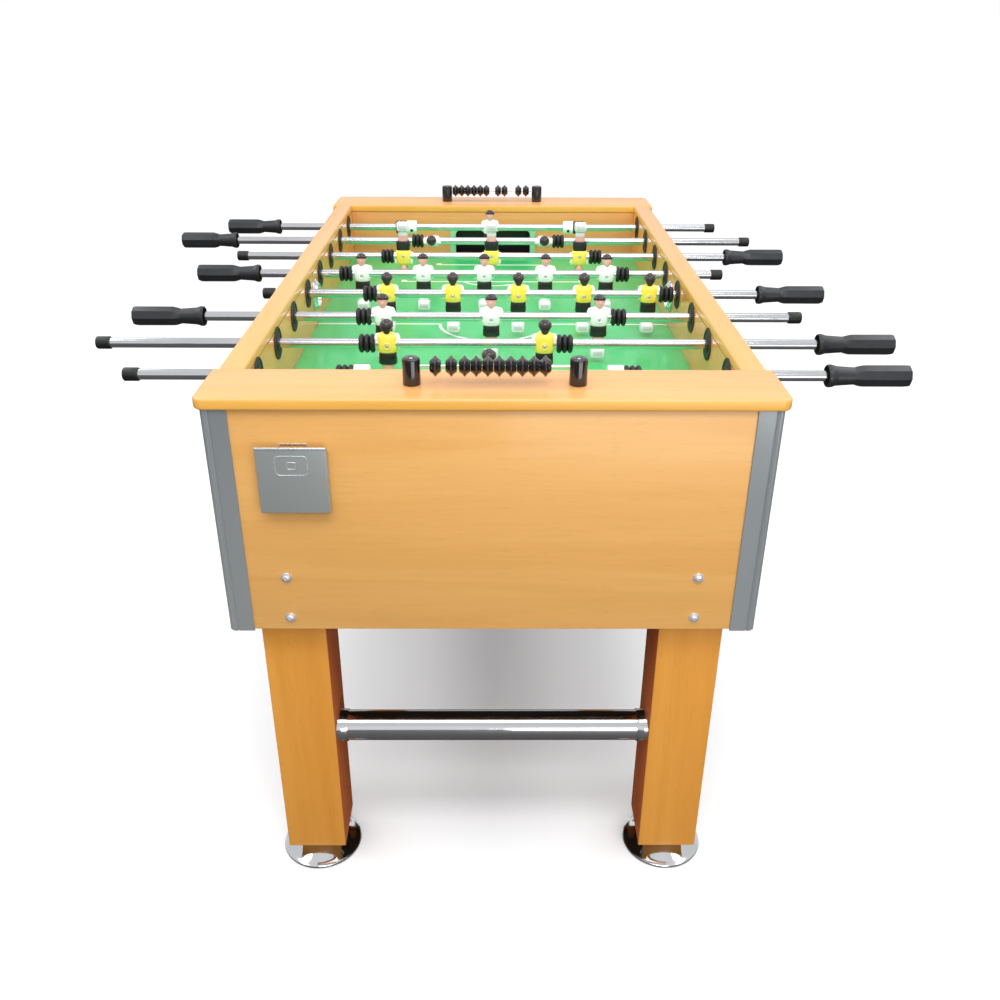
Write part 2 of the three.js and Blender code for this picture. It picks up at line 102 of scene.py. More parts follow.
# %% Camera
CAMERA_BACK = 1.168
CAMERA_HEIGHT = 1.319
CAMERA_ASIDE = -0.0013
CAMERA_LENS = 35.3
CAMERA_TILT = 62.55
CAMERA_PAN = -0.53
CAMERA_ROLL = 0.33
camera_data = bpy.data.cameras.new("camera")
camera_data.sensor_width = 36
camera_data.lens = CAMERA_LENS
camera = bpy.data.objects.new("camera", camera_data)
scene.collection.objects.link(camera)
camera.matrix_world = (
    Matrix.Translation((CAMERA_ASIDE, front_rail_lo.y - CAMERA_BACK, floor_z + CAMERA_HEIGHT))
    @ Matrix.Rotation(math.radians(CAMERA_PAN), 4, "Z")
    @ Matrix.Rotation(math.radians(CAMERA_TILT), 4, "X")
    @ Matrix.Rotation(math.radians(CAMERA_ROLL), 4, "Z")
)
scene.camera = camera
print("camera at", [round(value, 3) for value in camera.location])

# %% [markdown]
# ## The studio
# A white room and soft light from above suit an object with this much chrome: bare metal only
# looks like metal when it has something bright and something dim to reflect. The world is plain
# white to the camera, and a soft gradient to everything else.

# %% World and lights
SKY_STRENGTH = 0.83
SKY_STOPS = (
    (0.0, (0.75, 0.77, 0.8)),
    (0.25, (1, 1, 1)),
    (0.6, (0.78, 0.79, 0.81)),
    (1.0, (0.88, 0.88, 0.9)),
)
scene.view_settings.view_transform = "Standard"
world = bpy.data.worlds.new("studio")
scene.world = world
world.use_nodes = True
tree = world.node_tree
tree.nodes.clear()
world_output = tree.nodes.new("ShaderNodeOutputWorld")
seen = tree.nodes.new("ShaderNodeBackground")
seen.inputs["Color"].default_value = (1, 1, 1, 1)
seen.inputs["Strength"].default_value = 1.0
around = tree.nodes.new("ShaderNodeBackground")
around.inputs["Strength"].default_value = SKY_STRENGTH
direction = tree.nodes.new("ShaderNodeTexCoord")
height = tree.nodes.new("ShaderNodeSeparateXYZ")
gradient = tree.nodes.new("ShaderNodeValToRGB")
sky_colours = gradient.color_ramp.elements
while len(sky_colours) < len(SKY_STOPS):
    sky_colours.new(0.5)
for element, (position, colour) in zip(sky_colours, SKY_STOPS):
    element.position = position
    element.color = (*colour, 1)
chooser = tree.nodes.new("ShaderNodeMixShader")
ray = tree.nodes.new("ShaderNodeLightPath")
tree.links.new(direction.outputs["Generated"], height.inputs["Vector"])
tree.links.new(height.outputs["Z"], gradient.inputs["Fac"])
tree.links.new(gradient.outputs["Color"], around.inputs["Color"])
tree.links.new(ray.outputs["Is Camera Ray"], chooser.inputs["Fac"])
tree.links.new(around.outputs["Background"], chooser.inputs[1])
tree.links.new(seen.outputs["Background"], chooser.inputs[2])
tree.links.new(chooser.outputs["Shader"], world_output.inputs["Surface"])


def area_light(name, place, target, size, watts):
    data = bpy.data.lights.new(name, "AREA")
    data.shape = "RECTANGLE"
    data.size, data.size_y = size
    data.energy = watts
    lamp = bpy.data.objects.new(name, data)
    scene.collection.objects.link(lamp)
    lamp.location = place
    lamp.rotation_euler = (Vector(target) - Vector(place)).to_track_quat("-Z", "Y").to_euler()
    return lamp


area_light("key_above", (0.2, 0.35, 2.3), (0, -0.1, 0), (1.6, 1.4), 11)
area_light("front_fill", (1.0, -3.0, -0.25), (0, -0.7, -0.5), (2.0, 0.9), 20)
area_light("well_from_front", (0.1, -1.5, 1.5), (0, 0.2, 0), (1.4, 0.5), 13.5)
for aside in (-1, 1):
    area_light(f"well_from_side_{aside}", (aside * 1.3, 0, 1.3), (0, 0, 0), (2.0, 0.4), 9)

sky_data = bpy.data.lights.new("wide_softbox", "SUN")
sky_data.energy = 1.4
sky_data.angle = math.radians(75)
sky = bpy.data.objects.new("wide_softbox", sky_data)
scene.collection.objects.link(sky)
sky.rotation_euler = (math.radians(28), math.radians(-6), 0)
sky.visible_glossy = False

# %% [markdown]
# ## Small tools
# Every finish below is a procedural material, a handful of nodes around one Principled shader.
# `new_finish` starts one. `noise` and `ramp` add the two nodes that do most of the work: a noise
# read from Object coordinates, and a ramp that turns it into colours or into roughness.
# `multiplied` lays one pattern over another, and `bumped` turns a pattern into fine relief.


# %% Helpers for materials
def srgb(code):
    """A colour written as on a paint chart, as the linear values that the shader wants."""
    parts = [int(code[place : place + 2], 16) / 255 for place in (1, 3, 5)]
    linear = [
        part / 12.92 if part <= 0.04045 else ((part + 0.055) / 1.055) ** 2.4 for part in parts
    ]
    return (*linear, 1.0)


def new_finish(name, roughness, metallic=0.0, coat=0.0, specular=0.5):
    material = bpy.data.materials.new(name)
    material.use_nodes = True
    shader = material.node_tree.nodes["Principled BSDF"]
    shader.inputs["Roughness"].default_value = roughness
    shader.inputs["Metallic"].default_value = metallic
    shader.inputs["Coat Weight"].default_value = coat
    shader.inputs["Coat Roughness"].default_value = 0.12
    shader.inputs["Specular IOR Level"].default_value = specular
    return material, material.node_tree, shader


def noise(tree, scale, stretch=(1, 1, 1), detail=3.0, distortion=0.0):
    """A noise on Object coordinates; stretch squeezes it, as grain is squeezed across a board."""
    place = tree.nodes.new("ShaderNodeTexCoord")
    mapping = tree.nodes.new("ShaderNodeMapping")
    mapping.inputs["Scale"].default_value = stretch
    texture = tree.nodes.new("ShaderNodeTexNoise")
    texture.inputs["Scale"].default_value = scale
    texture.inputs["Detail"].default_value = detail
    texture.inputs["Distortion"].default_value = distortion
    tree.links.new(place.outputs["Object"], mapping.inputs["Vector"])
    tree.links.new(mapping.outputs["Vector"], texture.inputs["Vector"])
    return texture.outputs["Fac"]


def ramp(tree, source, *stops):
    """Colour stops as (position, colour), the colour a chart code or one grey value."""
    node = tree.nodes.new("ShaderNodeValToRGB")
    elements = node.color_ramp.elements
    while len(elements) < len(stops):
        elements.new(0.5)
    for element, (position, colour) in zip(elements, stops):
        element.position = position
        element.color = srgb(colour) if isinstance(colour, str) else (colour, colour, colour, 1)
    tree.links.new(source, node.inputs["Fac"])
    return node.outputs["Color"]


def multiplied(tree, first, second):
    node = tree.nodes.new("ShaderNodeMix")
    node.data_type = "RGBA"
    node.blend_type = "MULTIPLY"
    node.inputs["Factor"].default_value = 1.0
    tree.links.new(first, node.inputs["A"])
    tree.links.new(second, node.inputs["B"])
    return node.outputs["Result"]


def bumped(tree, shader, source, strength, distance):
    node = tree.nodes.new("ShaderNodeBump")
    node.inputs["Strength"].default_value = strength
    node.inputs["Distance"].default_value = distance
    tree.links.new(source, node.inputs["Height"])
    tree.links.new(node.outputs["Normal"], shader.inputs["Normal"])


print("material helpers ready")

# %% [markdown]
# ## Beech foil
# The boards are fibreboard wrapped in printed beech foil. Beech has three things to notice: broad
# soft bands along the grain, fine streaks, and short dark flecks. Each is one stretched noise, and
# they are multiplied together. The grain of a foil runs the long way of its board, so the function
# takes the axis and makes one material for each direction.

# %% Wood
ALONG = 0.06
GRAIN_STRETCH = {"x": (ALONG, 1, 1), "y": (1, ALONG, 1), "z": (1, 1, ALONG)}


def beech_foil(name, axis, light, dark, roughness=0.36, fleck=0.92, coat=0.25):
    material, tree, shader = new_finish(name, roughness, coat=coat, specular=0.2 + coat)
    stretch = GRAIN_STRETCH[axis]
    bands = ramp(tree, noise(tree, 17, stretch, 3.0, 1.2), (0.3, dark), (0.7, light))
    streaks = ramp(tree, noise(tree, 240, stretch, 2.0), (0.25, 0.965), (0.6, 1.0))
    flecks = ramp(tree, noise(tree, 560, stretch, 1.0), (0.27, fleck), (0.36, 1.0))
    colour = multiplied(tree, multiplied(tree, bands, streaks), flecks)
    tree.links.new(colour, shader.inputs["Base Color"])
    gloss = ramp(tree, noise(tree, 90, stretch), (0.2, roughness - 0.06), (0.8, roughness + 0.08))
    tree.links.new(gloss, shader.inputs["Roughness"])
    bumped(tree, shader, noise(tree, 620, stretch, 1.0), 0.06, 0.0004)
    return material


panel_foil = beech_foil("panel_foil_across", "x", "#e9b269", "#e0a65b")
side_foil = beech_foil("panel_foil_along", "y", "#e4ab62", "#da9e54")
leg_foil = beech_foil("leg_foil", "z", "#e6a044", "#db9238")
# painted shade: a darker, redder copy of the leg foil for the faces between the legs
leg_painted_shade_foil = beech_foil("leg_painted_shade_foil", "z", "#cd6c38", "#bb6130", 0.6, coat=0.0)
rail_foil_x = beech_foil("rail_foil_across", "x", "#e7aa69", "#df9f5d", 0.3, 0.95)
rail_foil_y = beech_foil("rail_foil_along", "y", "#e7aa69", "#df9f5d", 0.3, 0.95)
rail_edge_x = beech_foil("rail_edging_across", "x", "#f2b656", "#eaaa4a", 0.34, 0.95)
rail_edge_y = beech_foil("rail_edging_along", "y", "#f2b656", "#eaaa4a", 0.34, 0.95)
# painted light: a brighter, redder copy of the side foil, against the shade and the green bounce in
# the well
well_foil = beech_foil("well_foil", "y", "#fda654", "#f49c4a", 0.2, 0.94)
end_well_foil = beech_foil("end_well_foil", "x", "#eaa868", "#e09c5c", 0.3, 0.94)
hardboard = beech_foil("hardboard", "y", "#6a6158", "#5d554c", 0.8, coat=0.0)
print("foils", [material.name for material in bpy.data.materials if "foil" in material.name])

# %% [markdown]
# ## Metals
# Chrome is nearly a mirror, and a trace of uneven roughness keeps it from looking computed. The
# corner guards and the tray are duller, satin steel: part mirror, part grey.


# %% Metals
def metal(name, colour, low, high, scale=60, stretch=(1, 1, 1), bump=0.0, metallic=1.0, shade=None):
    material, tree, shader = new_finish(name, low, metallic=metallic)
    shader.inputs["Base Color"].default_value = srgb(colour)
    if shade:
        clouds = ramp(tree, noise(tree, 3.2, (1, 1, 0.4), 2.0), (0.35, shade), (0.65, colour))
        tree.links.new(clouds, shader.inputs["Base Color"])
    pattern = noise(tree, scale, stretch, 4.0)
    tree.links.new(ramp(tree, pattern, (0.3, low), (0.7, high)), shader.inputs["Roughness"])
    if bump:
        bumped(tree, shader, pattern, bump, 0.0002)
    return material


chrome = metal("bright_chrome", "#e6e7e9", 0.05, 0.12)
rod_steel = metal("polished_rod_steel", "#dfe0e3", 0.1, 0.2, 900, (0.02, 1, 1), 0.03)
guard_steel = metal("guard_steel", "#cdd2d3", 0.1, 0.18, 8, metallic=0.68, shade="#abb5ba")
tray_steel = metal("satin_tray_steel", "#b9bfbd", 0.3, 0.4, 300, metallic=0.55)
# zinc plate for the bolts, screws and hanger; on the tray's lip and pressed frames its brighter
# grey is a painted highlight
zinc_and_tray_highlight = metal("zinc_plate", "#dcdadf", 0.22, 0.36, 300, metallic=0.6)
print("metals", chrome.name, rod_steel.name, guard_steel.name, tray_steel.name, zinc_and_tray_highlight.name)

# %% [markdown]
# ## Plastics, rubber and paint
# Moulded plastic shows a very fine texture and slightly uneven gloss. One function covers them all,
# from the matt rubber bumpers to the glossy painted men.


# %% Plastics
def moulded(name, colour, shade, roughness, coat=0.0, grain=900, bump=0.05):
    material, tree, shader = new_finish(name, roughness, coat=coat)
    cloud = ramp(tree, noise(tree, 38, detail=4.0), (0.3, shade), (0.7, colour))
    tree.links.new(cloud, shader.inputs["Base Color"])
    gloss = ramp(tree, noise(tree, 120), (0.3, roughness - 0.05), (0.7, roughness + 0.06))
    tree.links.new(gloss, shader.inputs["Roughness"])
    bumped(tree, shader, noise(tree, grain, detail=2.0), bump, 0.0003)
    return material


black_plastic = moulded("black_plastic", "#2b2a2b", "#242324", 0.36)
grip_plastic = moulded("grip_plastic", "#27292d", "#1f2124", 0.38, grain=1500, bump=0.12)
bead_plastic = moulded("bead_plastic", "#1d1718", "#161112", 0.16, coat=0.6, bump=0.02)
black_rubber = moulded("black_rubber", "#1c1d1e", "#141516", 0.42, bump=0.1)
bearing_plastic = moulded("bearing_plastic", "#2e2b2b", "#242222", 0.55)
white_jersey = moulded("white_jersey_paint", "#fcfbfb", "#f6f5f6", 0.3, coat=0.3)
yellow_jersey = moulded("yellow_jersey_paint", "#ffeb64", "#ffe24e", 0.3, coat=0.3)
skin_paint = moulded("skin_paint", "#eebbaf", "#e2a69b", 0.36, coat=0.2)
hair_paint = moulded("hair_paint", "#35282a", "#261d1f", 0.3, coat=0.3)
shorts_paint = moulded("shorts_paint", "#1f1e20", "#161517", 0.32, coat=0.3)
sock_paint = moulded("boot_plastic", "#f1f2f2", "#e2e4e5", 0.36, coat=0.1)
boot_face = moulded("boot_face", "#d3d6d7", "#c4c8ca", 0.45)
band_grey = moulded("grey_band_paint", "#6d6869", "#5b5655", 0.4)
band_black = moulded("black_band_paint", "#17131a", "#100d13", 0.3, coat=0.3)
goal_green = moulded("goal_plastic", "#a8dcb8", "#8fcfa4", 0.34, coat=0.2)
print("plastics ready, for example", black_rubber.name)

# %% [markdown]
# ## The playing surface
# The field is a board with a printed green face and a clear hard coat: the coat gives the long soft
# reflections of the men. The white lines are printed too, and get a finish of their own.

# %% Field finishes
field_print, field_tree, field_shader = new_finish("field_print", 0.34, coat=0.35)
field_cloud = ramp(field_tree, noise(field_tree, 9, detail=5.0), (0.3, "#3dbb68"), (0.7, "#48c777"))
field_fibre = ramp(field_tree, noise(field_tree, 700, detail=2.0), (0.3, 0.93), (0.6, 1.0))
field_colour = multiplied(field_tree, field_cloud, field_fibre)
field_tree.links.new(field_colour, field_shader.inputs["Base Color"])
bumped(field_tree, field_shader, noise(field_tree, 700, detail=2.0), 0.05, 0.0003)
line_print = moulded("line_print", "#f6fbf4", "#eaf5ea", 0.36, coat=0.3, grain=700)
print("field finish", field_print.name)

# %% [markdown]
# ## Modelling tools
# The shapes come from a few workshop methods. `block` is a board with its edges eased. `spun` turns
# a profile round an axis, as a lathe does. `loft` joins rings, for shapes that change along their
# length. `pull` extrudes faces by a step. `add` drops a finished bmesh into a bigger one with its
# material number, and `place_piece` makes the object, gives it smooth shading up to a sharp angle,
# and hangs it on its moving body.


# %% Modelling helpers
def block(lo, hi, ease=0.0, segments=2):
    """A board between two corners, with every edge rounded a little."""
    bm = bmesh.new()
    lo, hi = Vector(lo), Vector(hi)
    size = hi - lo
    bmesh.ops.create_cube(bm, size=1.0, matrix=Matrix.LocRotScale((lo + hi) / 2, None, size))
    if ease:
        bevel(bm, bm.edges[:], ease, segments)
    return bm


def bevel(bm, edges, offset, segments=2):
    bmesh.ops.bevel(
        bm, geom=edges, offset=offset, segments=segments, profile=0.5, affect="EDGES",
        material=-1, clamp_overlap=True,
    )


AXIS_TURNS = {
    "x": Matrix.Rotation(math.radians(90), 4, "Y"),
    "y": Matrix.Rotation(math.radians(-90), 4, "X"),
    "z": Matrix.Identity(4),
}


def spun(profile, steps=32, axis="z", ring=False):
    """Points of (radius, distance along the axis), turned once round. A ring closes on itself."""
    bm = bmesh.new()
    points = [bm.verts.new((radius, 0, along)) for radius, along in profile]
    pairs = list(zip(points, points[1:]))
    if ring:
        pairs.append((points[-1], points[0]))
    edges = [bm.edges.new(pair) for pair in pairs]
    bmesh.ops.spin(
        bm, geom=points + edges, cent=(0, 0, 0), axis=(0, 0, 1), dvec=(0, 0, 0),
        angle=math.tau, steps=steps, use_merge=True, use_duplicate=False,
    )
    bmesh.ops.remove_doubles(bm, verts=bm.verts[:], dist=1e-6)
    bmesh.ops.dissolve_degenerate(bm, edges=bm.edges[:], dist=1e-7)
    bmesh.ops.recalc_face_normals(bm, faces=bm.faces[:])
    bm.transform(AXIS_TURNS[axis])
    return bm


def loft(rings, sides=24, squareness=2.0):
    """Rings of (x, y, z, half width, half depth) joined in order, with both ends closed.
    A squareness of 2 gives ellipses, and more gives rounded rectangles."""
    bm = bmesh.new()
    loops = []
    for x, y, z, half_width, half_depth in rings:
        verts = bmesh.ops.create_circle(bm, cap_ends=False, radius=1, segments=sides)["verts"]
        for vert in verts:
            reach = abs(vert.co.x) ** squareness + abs(vert.co.y) ** squareness
            vert.co *= reach ** (-1 / squareness)
        bmesh.ops.scale(bm, vec=(half_width, half_depth, 1), verts=verts)
        bmesh.ops.translate(bm, vec=(x, y, z), verts=verts)
        loops.append(list({edge for vert in verts for edge in vert.link_edges}))
    for lower, upper in zip(loops, loops[1:]):
        bmesh.ops.bridge_loops(bm, edges=lower + upper)
    for loop in (loops[0], loops[-1]):
        bmesh.ops.contextual_create(bm, geom=loop)
    bmesh.ops.recalc_face_normals(bm, faces=bm.faces[:])
    return bm


def pull(bm, faces, step):
    """Extrude some faces, and move what is new by a step."""
    raised = bmesh.ops.extrude_face_region(bm, geom=faces)["geom"]
    verts = [item for item in raised if isinstance(item, bmesh.types.BMVert)]
    bmesh.ops.translate(bm, vec=step, verts=verts)


def add(target, piece, place=None, finish=None):
    """Copy a bmesh into another one, moved to its place and given a material number."""
    if place is not None:
        piece.transform(place)
        if place.determinant() < 0:
            bmesh.ops.reverse_faces(piece, faces=piece.faces[:])
    if finish is not None:
        for face in piece.faces:
            face.material_index = finish
    scratch = bpy.data.meshes.new("scratch")
    piece.to_mesh(scratch)
    piece.free()
    target.from_mesh(scratch)
    bpy.data.meshes.remove(scratch)
    return target


def place_piece(name, bm, finishes, body, stands_for=(), sharp=35):
    """Make the object from its bmesh and hang it on the body that it moves with."""
    mesh = bpy.data.meshes.new(name)
    bm.to_mesh(mesh)
    bm.free()
    for finish in finishes:
        mesh.materials.append(finish)
    mesh.shade_smooth()
    mesh.set_sharp_from_angle(angle=math.radians(sharp))
    piece = bpy.data.objects.new(name, mesh)
    scene.collection.objects.link(piece)
    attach(piece, body)
    if stands_for:
        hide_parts(*stands_for)
    return piece


def dress(node, *finishes):
    """Give a node of the fixed model its finish, and leave its shape alone."""
    materials = nodes[node].data.materials
    materials.clear()
    for finish in finishes:
        materials.append(finish)


print("modelling helpers ready")

# %% [markdown]
# ## Cabinet
# The side panels already have every hole that they need, so each is a merged copy of the fixed
# panel. Copying lets its faces take two finishes: foil outside, and in the well a glossier foil
# whose brighter, redder colour is painted light against the shade and the green bounce in the well.
# The field is a hardboard sheet, green only on top. The goal walls keep their shape as they are,
# and the end panels are made again with eased edges.

# %% Panels
for side, inward in (("left", 1), ("right", -1)):
    bm = bmesh.new()
    bm.from_mesh(nodes[f"{side}_side_panel"].data)
    bmesh.ops.remove_doubles(bm, verts=bm.verts[:], dist=1e-6)
    bmesh.ops.dissolve_limit(
        bm, angle_limit=math.radians(0.5), verts=bm.verts[:], edges=bm.edges[:]
    )
    # faces in the well take the brighter, redder foil, which is painted light
    for face in bm.faces:
        face.material_index = 1 if face.normal.x * inward > 0.9 else 0
    place_piece(
        f"{side}_side_board", bm, [side_foil, well_foil], "table",
        [f"{side}_side_panel"], sharp=25,
    )

field_lo, field_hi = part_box("playfield")
field_board = block(field_lo, field_hi)
for face in field_board.faces:
    face.material_index = 0 if face.normal.z > 0.5 else 1
place_piece(
    "field_board", field_board, [field_print, hardboard], "table", ["playfield"]
)
for end in ("front", "rear"):
    dress(f"{end}_goal_wall", end_well_foil)
    lo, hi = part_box(f"{end}_panel")
    place_piece(
        f"{end}_end_board", block(lo, hi, 0.8 * MM, 3), [panel_foil], "table",
        [f"{end}_panel"],
    )
print("panels dressed")

# %% [markdown]
# The rails on top have rounded long edges, and the end rails rounded corners as well. The rounding
# is two bevels: first the upright corners in plan, then the edges round the top and the bottom.
# The edging of a rail is a separate strip of foil, a shade deeper, so every face that doesn't look
# up gets material 1.

# %% Rails
RAIL_ROUND = 3.2 * MM
CORNER_ROUND = 15 * MM


def rail(lo, hi, outward, rounded_corners):
    bm = block(lo, hi)
    if rounded_corners:
        upright = [
            edge for edge in bm.edges
            if abs(edge.verts[0].co.z - edge.verts[1].co.z) > 5 * MM
            and edge.verts[0].co.y * outward > (lo.y + hi.y) / 2 * outward
        ]
        bevel(bm, upright, CORNER_ROUND, 10)
    flat_faces = [face for face in bm.faces if abs(face.normal.z) > 0.9]
    rims = [edge for face in flat_faces for edge in face.edges]
    bevel(bm, rims, RAIL_ROUND, 4)
    for face in bm.faces:
        face.material_index = 0 if face.normal.z > 0.35 else 1
    return bm


for end, outward in (("front", -1), ("rear", 1)):
    lo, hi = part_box(f"{end}_rail")
    place_piece(
        f"{end}_top_rail", rail(lo, hi, outward, True), [rail_foil_x, rail_edge_x], "table",
        [f"{end}_rail"],
    )
for side in ("left", "right"):
    lo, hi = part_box(f"{side}_side_rail")
    place_piece(
        f"{side}_top_rail", rail(lo, hi, 0, False), [rail_foil_y, rail_edge_y], "table",
        [f"{side}_side_rail"],
    )

# %% [markdown]
# ## Markings
# Printed lines have no thickness worth measuring, but a shape made of real geometry survives any
# export, so each line is a strip about a tenth of a millimetre high. Straight lines are thin
# blocks. Arcs are a short line swept round a centre with the spin operator, then extruded upwards.

# %% Field markings
LINE = 6 * MM
PRINT_HEIGHT = 0.12 * MM
PRINT_SUNK = 0.1 * MM


def straight_line(bm, x0, x1, y0, y1):
    add(bm, block((x0, y0, -PRINT_SUNK), (x1, y1, PRINT_HEIGHT)))


def arc_line(bm, centre_y, radius, start, sweep, steps):
    """An arc about a point on the centre line; angles are degrees counted from +X."""
    arc = bmesh.new()
    inner = arc.verts.new((radius - LINE / 2, 0, -PRINT_SUNK))
    outer = arc.verts.new((radius + LINE / 2, 0, -PRINT_SUNK))
    edge = arc.edges.new((inner, outer))
    arc.transform(Matrix.Rotation(math.radians(start), 4, "Z"))
    full = abs(sweep) >= 360
    bmesh.ops.spin(
        arc, geom=[inner, outer, edge], cent=(0, 0, 0), axis=(0, 0, 1), dvec=(0, 0, 0),
        angle=math.radians(sweep), steps=steps, use_merge=full, use_duplicate=False,
    )
    pull(arc, arc.faces[:], (0, 0, PRINT_HEIGHT + PRINT_SUNK))
    bmesh.ops.recalc_face_normals(arc, faces=arc.faces[:])
    add(bm, arc, Matrix.Translation((0, centre_y, 0)))


CIRCLE_RADIUS = 103 * MM
BOX_LINES = ((312 * MM, 205 * MM), (463 * MM, 134 * MM))
BOX_RETURN = 16 * MM
SIDE_GAP = 1 * MM
PENALTY_CENTRE = 365 * MM
PENALTY_RADIUS = 84 * MM

markings = bmesh.new()
straight_line(markings, CIRCLE_RADIUS, well_x - SIDE_GAP, -LINE / 2, LINE / 2)
straight_line(markings, -well_x + SIDE_GAP, -CIRCLE_RADIUS, -LINE / 2, LINE / 2)
arc_line(markings, 0, CIRCLE_RADIUS, 180, 180, 40)
for sign in (-1, 1):
    for line_y, half_width in BOX_LINES:
        near, far = sorted((sign * line_y, sign * (line_y + LINE)))
        straight_line(markings, -half_width, half_width, near, far)
        near, far = sorted((sign * (line_y + LINE), sign * (line_y + BOX_RETURN)))
        for corner in (-half_width, half_width - 2 * LINE):
            straight_line(markings, corner, corner + 2 * LINE, near, far)
    reach = math.degrees(math.acos((PENALTY_CENTRE - BOX_LINES[0][0]) / PENALTY_RADIUS))
    arc_line(markings, sign * PENALTY_CENTRE, PENALTY_RADIUS, -sign * 90 - reach, 2 * reach, 24)
place_piece("field_markings", markings, [line_print], "table")
print("markings drawn")

# %% [markdown]
# ## Goals
# Behind each goal wall is a moulded box that catches the ball and sends it to an outlet in the
# side. It keeps its shape from the mechanical model. In front of it goes the pale green rim, an
# arch inside an arch: two outlines with round upper corners, bridged into a flat band that is then
# given its thickness.

# %% Goal rims and boxes
GOAL_HALF_WIDTH = 91 * MM
GOAL_HEIGHT = 58 * MM
RIM_WIDTH = 13.6 * MM
RIM_FACE = 574.9 * MM
RIM_BACK = 577.8 * MM
RIM_FOOT = 0.4 * MM
RIM_OUTER_CORNER = 20 * MM
RIM_INNER_CORNER = 12 * MM
RIM_EASE = 0.7 * MM
CORNER_STEPS = 10


def arch_outline(bm, half_width, top, corner):
    """The open outline of an arch in the plane of the rim, from its left foot to its right."""
    points = [(-half_width, RIM_FOOT)]
    for side in (-1, 1):
        for step in range(CORNER_STEPS + 1):
            turn = step / CORNER_STEPS if side < 0 else 1 - step / CORNER_STEPS
            angle = math.radians(90 * turn)
            x = half_width - corner + corner * math.cos(angle)
            points.append((side * x, top - corner + corner * math.sin(angle)))
    points.append((half_width, RIM_FOOT))
    verts = [bm.verts.new((x, RIM_FACE, z)) for x, z in points]
    return [bm.edges.new(pair) for pair in zip(verts, verts[1:])]


def goal_rim():
    bm = bmesh.new()
    outer = arch_outline(
        bm, GOAL_HALF_WIDTH + RIM_WIDTH, GOAL_HEIGHT + RIM_WIDTH, RIM_OUTER_CORNER
    )
    inner = arch_outline(bm, GOAL_HALF_WIDTH, GOAL_HEIGHT, RIM_INNER_CORNER)
    bmesh.ops.bridge_loops(bm, edges=outer + inner)
    bmesh.ops.recalc_face_normals(bm, faces=bm.faces[:])
    if bm.faces[:][0].normal.y > 0:
        bmesh.ops.reverse_faces(bm, faces=bm.faces[:])
    pull(bm, bm.faces[:], (0, RIM_BACK - RIM_FACE, 0))
    bmesh.ops.recalc_face_normals(bm, faces=bm.faces[:])
    sharp = [edge for edge in bm.edges if edge.calc_face_angle(0) > math.radians(60)]
    bevel(bm, sharp, RIM_EASE, 2)
    return bm


for end, turn in (("front", math.pi), ("rear", 0)):
    dress(f"{end}_goal", black_plastic)
    bm = goal_rim()
    bm.transform(Matrix.Rotation(turn, 4, "Z"))
    place_piece(f"{end}_goal_rim", bm, [goal_green], "table", sharp=50)
print("goal rims", round(2 * (GOAL_HALF_WIDTH + RIM_WIDTH), 3), "m wide")

# %% [markdown]
# ## Corner guards
# The guards are rolled steel strips. In section each has a flat flange, a groove, a ridge and a
# rounded corner, then the same again on the other side. So half of the outline is drawn and then
# mirrored, with a formula for the round stretch, and the face is extruded up the cabinet's corner.
# The foot of each flange is rounded off.

# %% Corner guards
GUARD_OUTLINE = [(-31.2, 0.3), (-31.2, 1.7), (-30.5, 2.4), (-8.6, 2.4), (-7.9, 1.0), (-6.7, 1.0)]
GUARD_OUTLINE += [(-6.2, 2.8), (-5.2, 3.4), (-4.2, 2.8), (-3.6, 2.2), (-2.8, 3.4)]
GUARD_FOOT_ROUND = 10 * MM
GUARD_DROP = 1.5 * MM
GUARD_STEPS = 8
GUARD_ROUND = 5.4
GUARD_ROUND_CENTRE = -1.6


def guard_section():
    half = [Vector(point) for point in GUARD_OUTLINE]
    corner = []
    for step in range(GUARD_STEPS + 1):
        angle = math.radians(90 - 90 * step / GUARD_STEPS)
        centre = Vector((GUARD_ROUND_CENTRE, GUARD_ROUND_CENTRE))
        corner.append(centre + GUARD_ROUND * Vector((math.cos(angle), math.sin(angle))))
    other_half = [Vector((point.y, point.x)) for point in reversed(half)]
    return [Vector((0.3, 0.3))] + half + corner + other_half


def corner_guard(bottom, top):
    bm = bmesh.new()
    outline = [bm.verts.new((p.x * MM, p.y * MM, bottom)) for p in guard_section()]
    face = bm.faces.new(outline)
    pull(bm, [face], (0, 0, top - bottom))
    corner = (GUARD_ROUND + GUARD_ROUND_CENTRE) * MM
    for vert in bm.verts:
        near = max(0.0, GUARD_FOOT_ROUND - (corner - min(vert.co.x, vert.co.y)))
        if vert.co.z < top - GUARD_FOOT_ROUND:
            vert.co.z += GUARD_FOOT_ROUND - math.sqrt(GUARD_FOOT_ROUND**2 - near**2)
    bmesh.ops.recalc_face_normals(bm, faces=bm.faces[:])
    return bm


CORNERS = [
    (f"{end}_{side}", Vector((x, y)))
    for end, y in (("front", -1), ("rear", 1))
    for side, x in (("left", -1), ("right", 1))
]
for corner, sign in CORNERS:
    lo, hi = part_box(f"{corner}_corner_guard")
    bm = corner_guard(lo.z - GUARD_DROP, hi.z)
    edge = Matrix.Translation((sign.x * side_face_x, sign.y * end_face_y, 0))
    guard = add(bmesh.new(), bm, edge @ Matrix.Diagonal((sign.x, sign.y, 1, 1)))
    place_piece(
        f"{corner}_guard", guard, [guard_steel], "table", [f"{corner}_corner_guard"]
    )
print("guards", len(CORNERS))

# %% [markdown]
# ## Legs and feet
# A leg is a square box of foil-wrapped board. Its face towards the other leg of the pair has a
# redder, darker copy of the foil, which is painted shade. The underside has a recess for the foot's
# threaded stem, cut by an inset and an extrusion. Feet are spun chrome: a wide domed dish with a
# rolled lip, a hub and a stem.

# %% Legs
STEM_ROOM = 38 * MM
STEM_ROOM_HALF_WIDTH = 12 * MM
LEG_EASE = 1.6 * MM


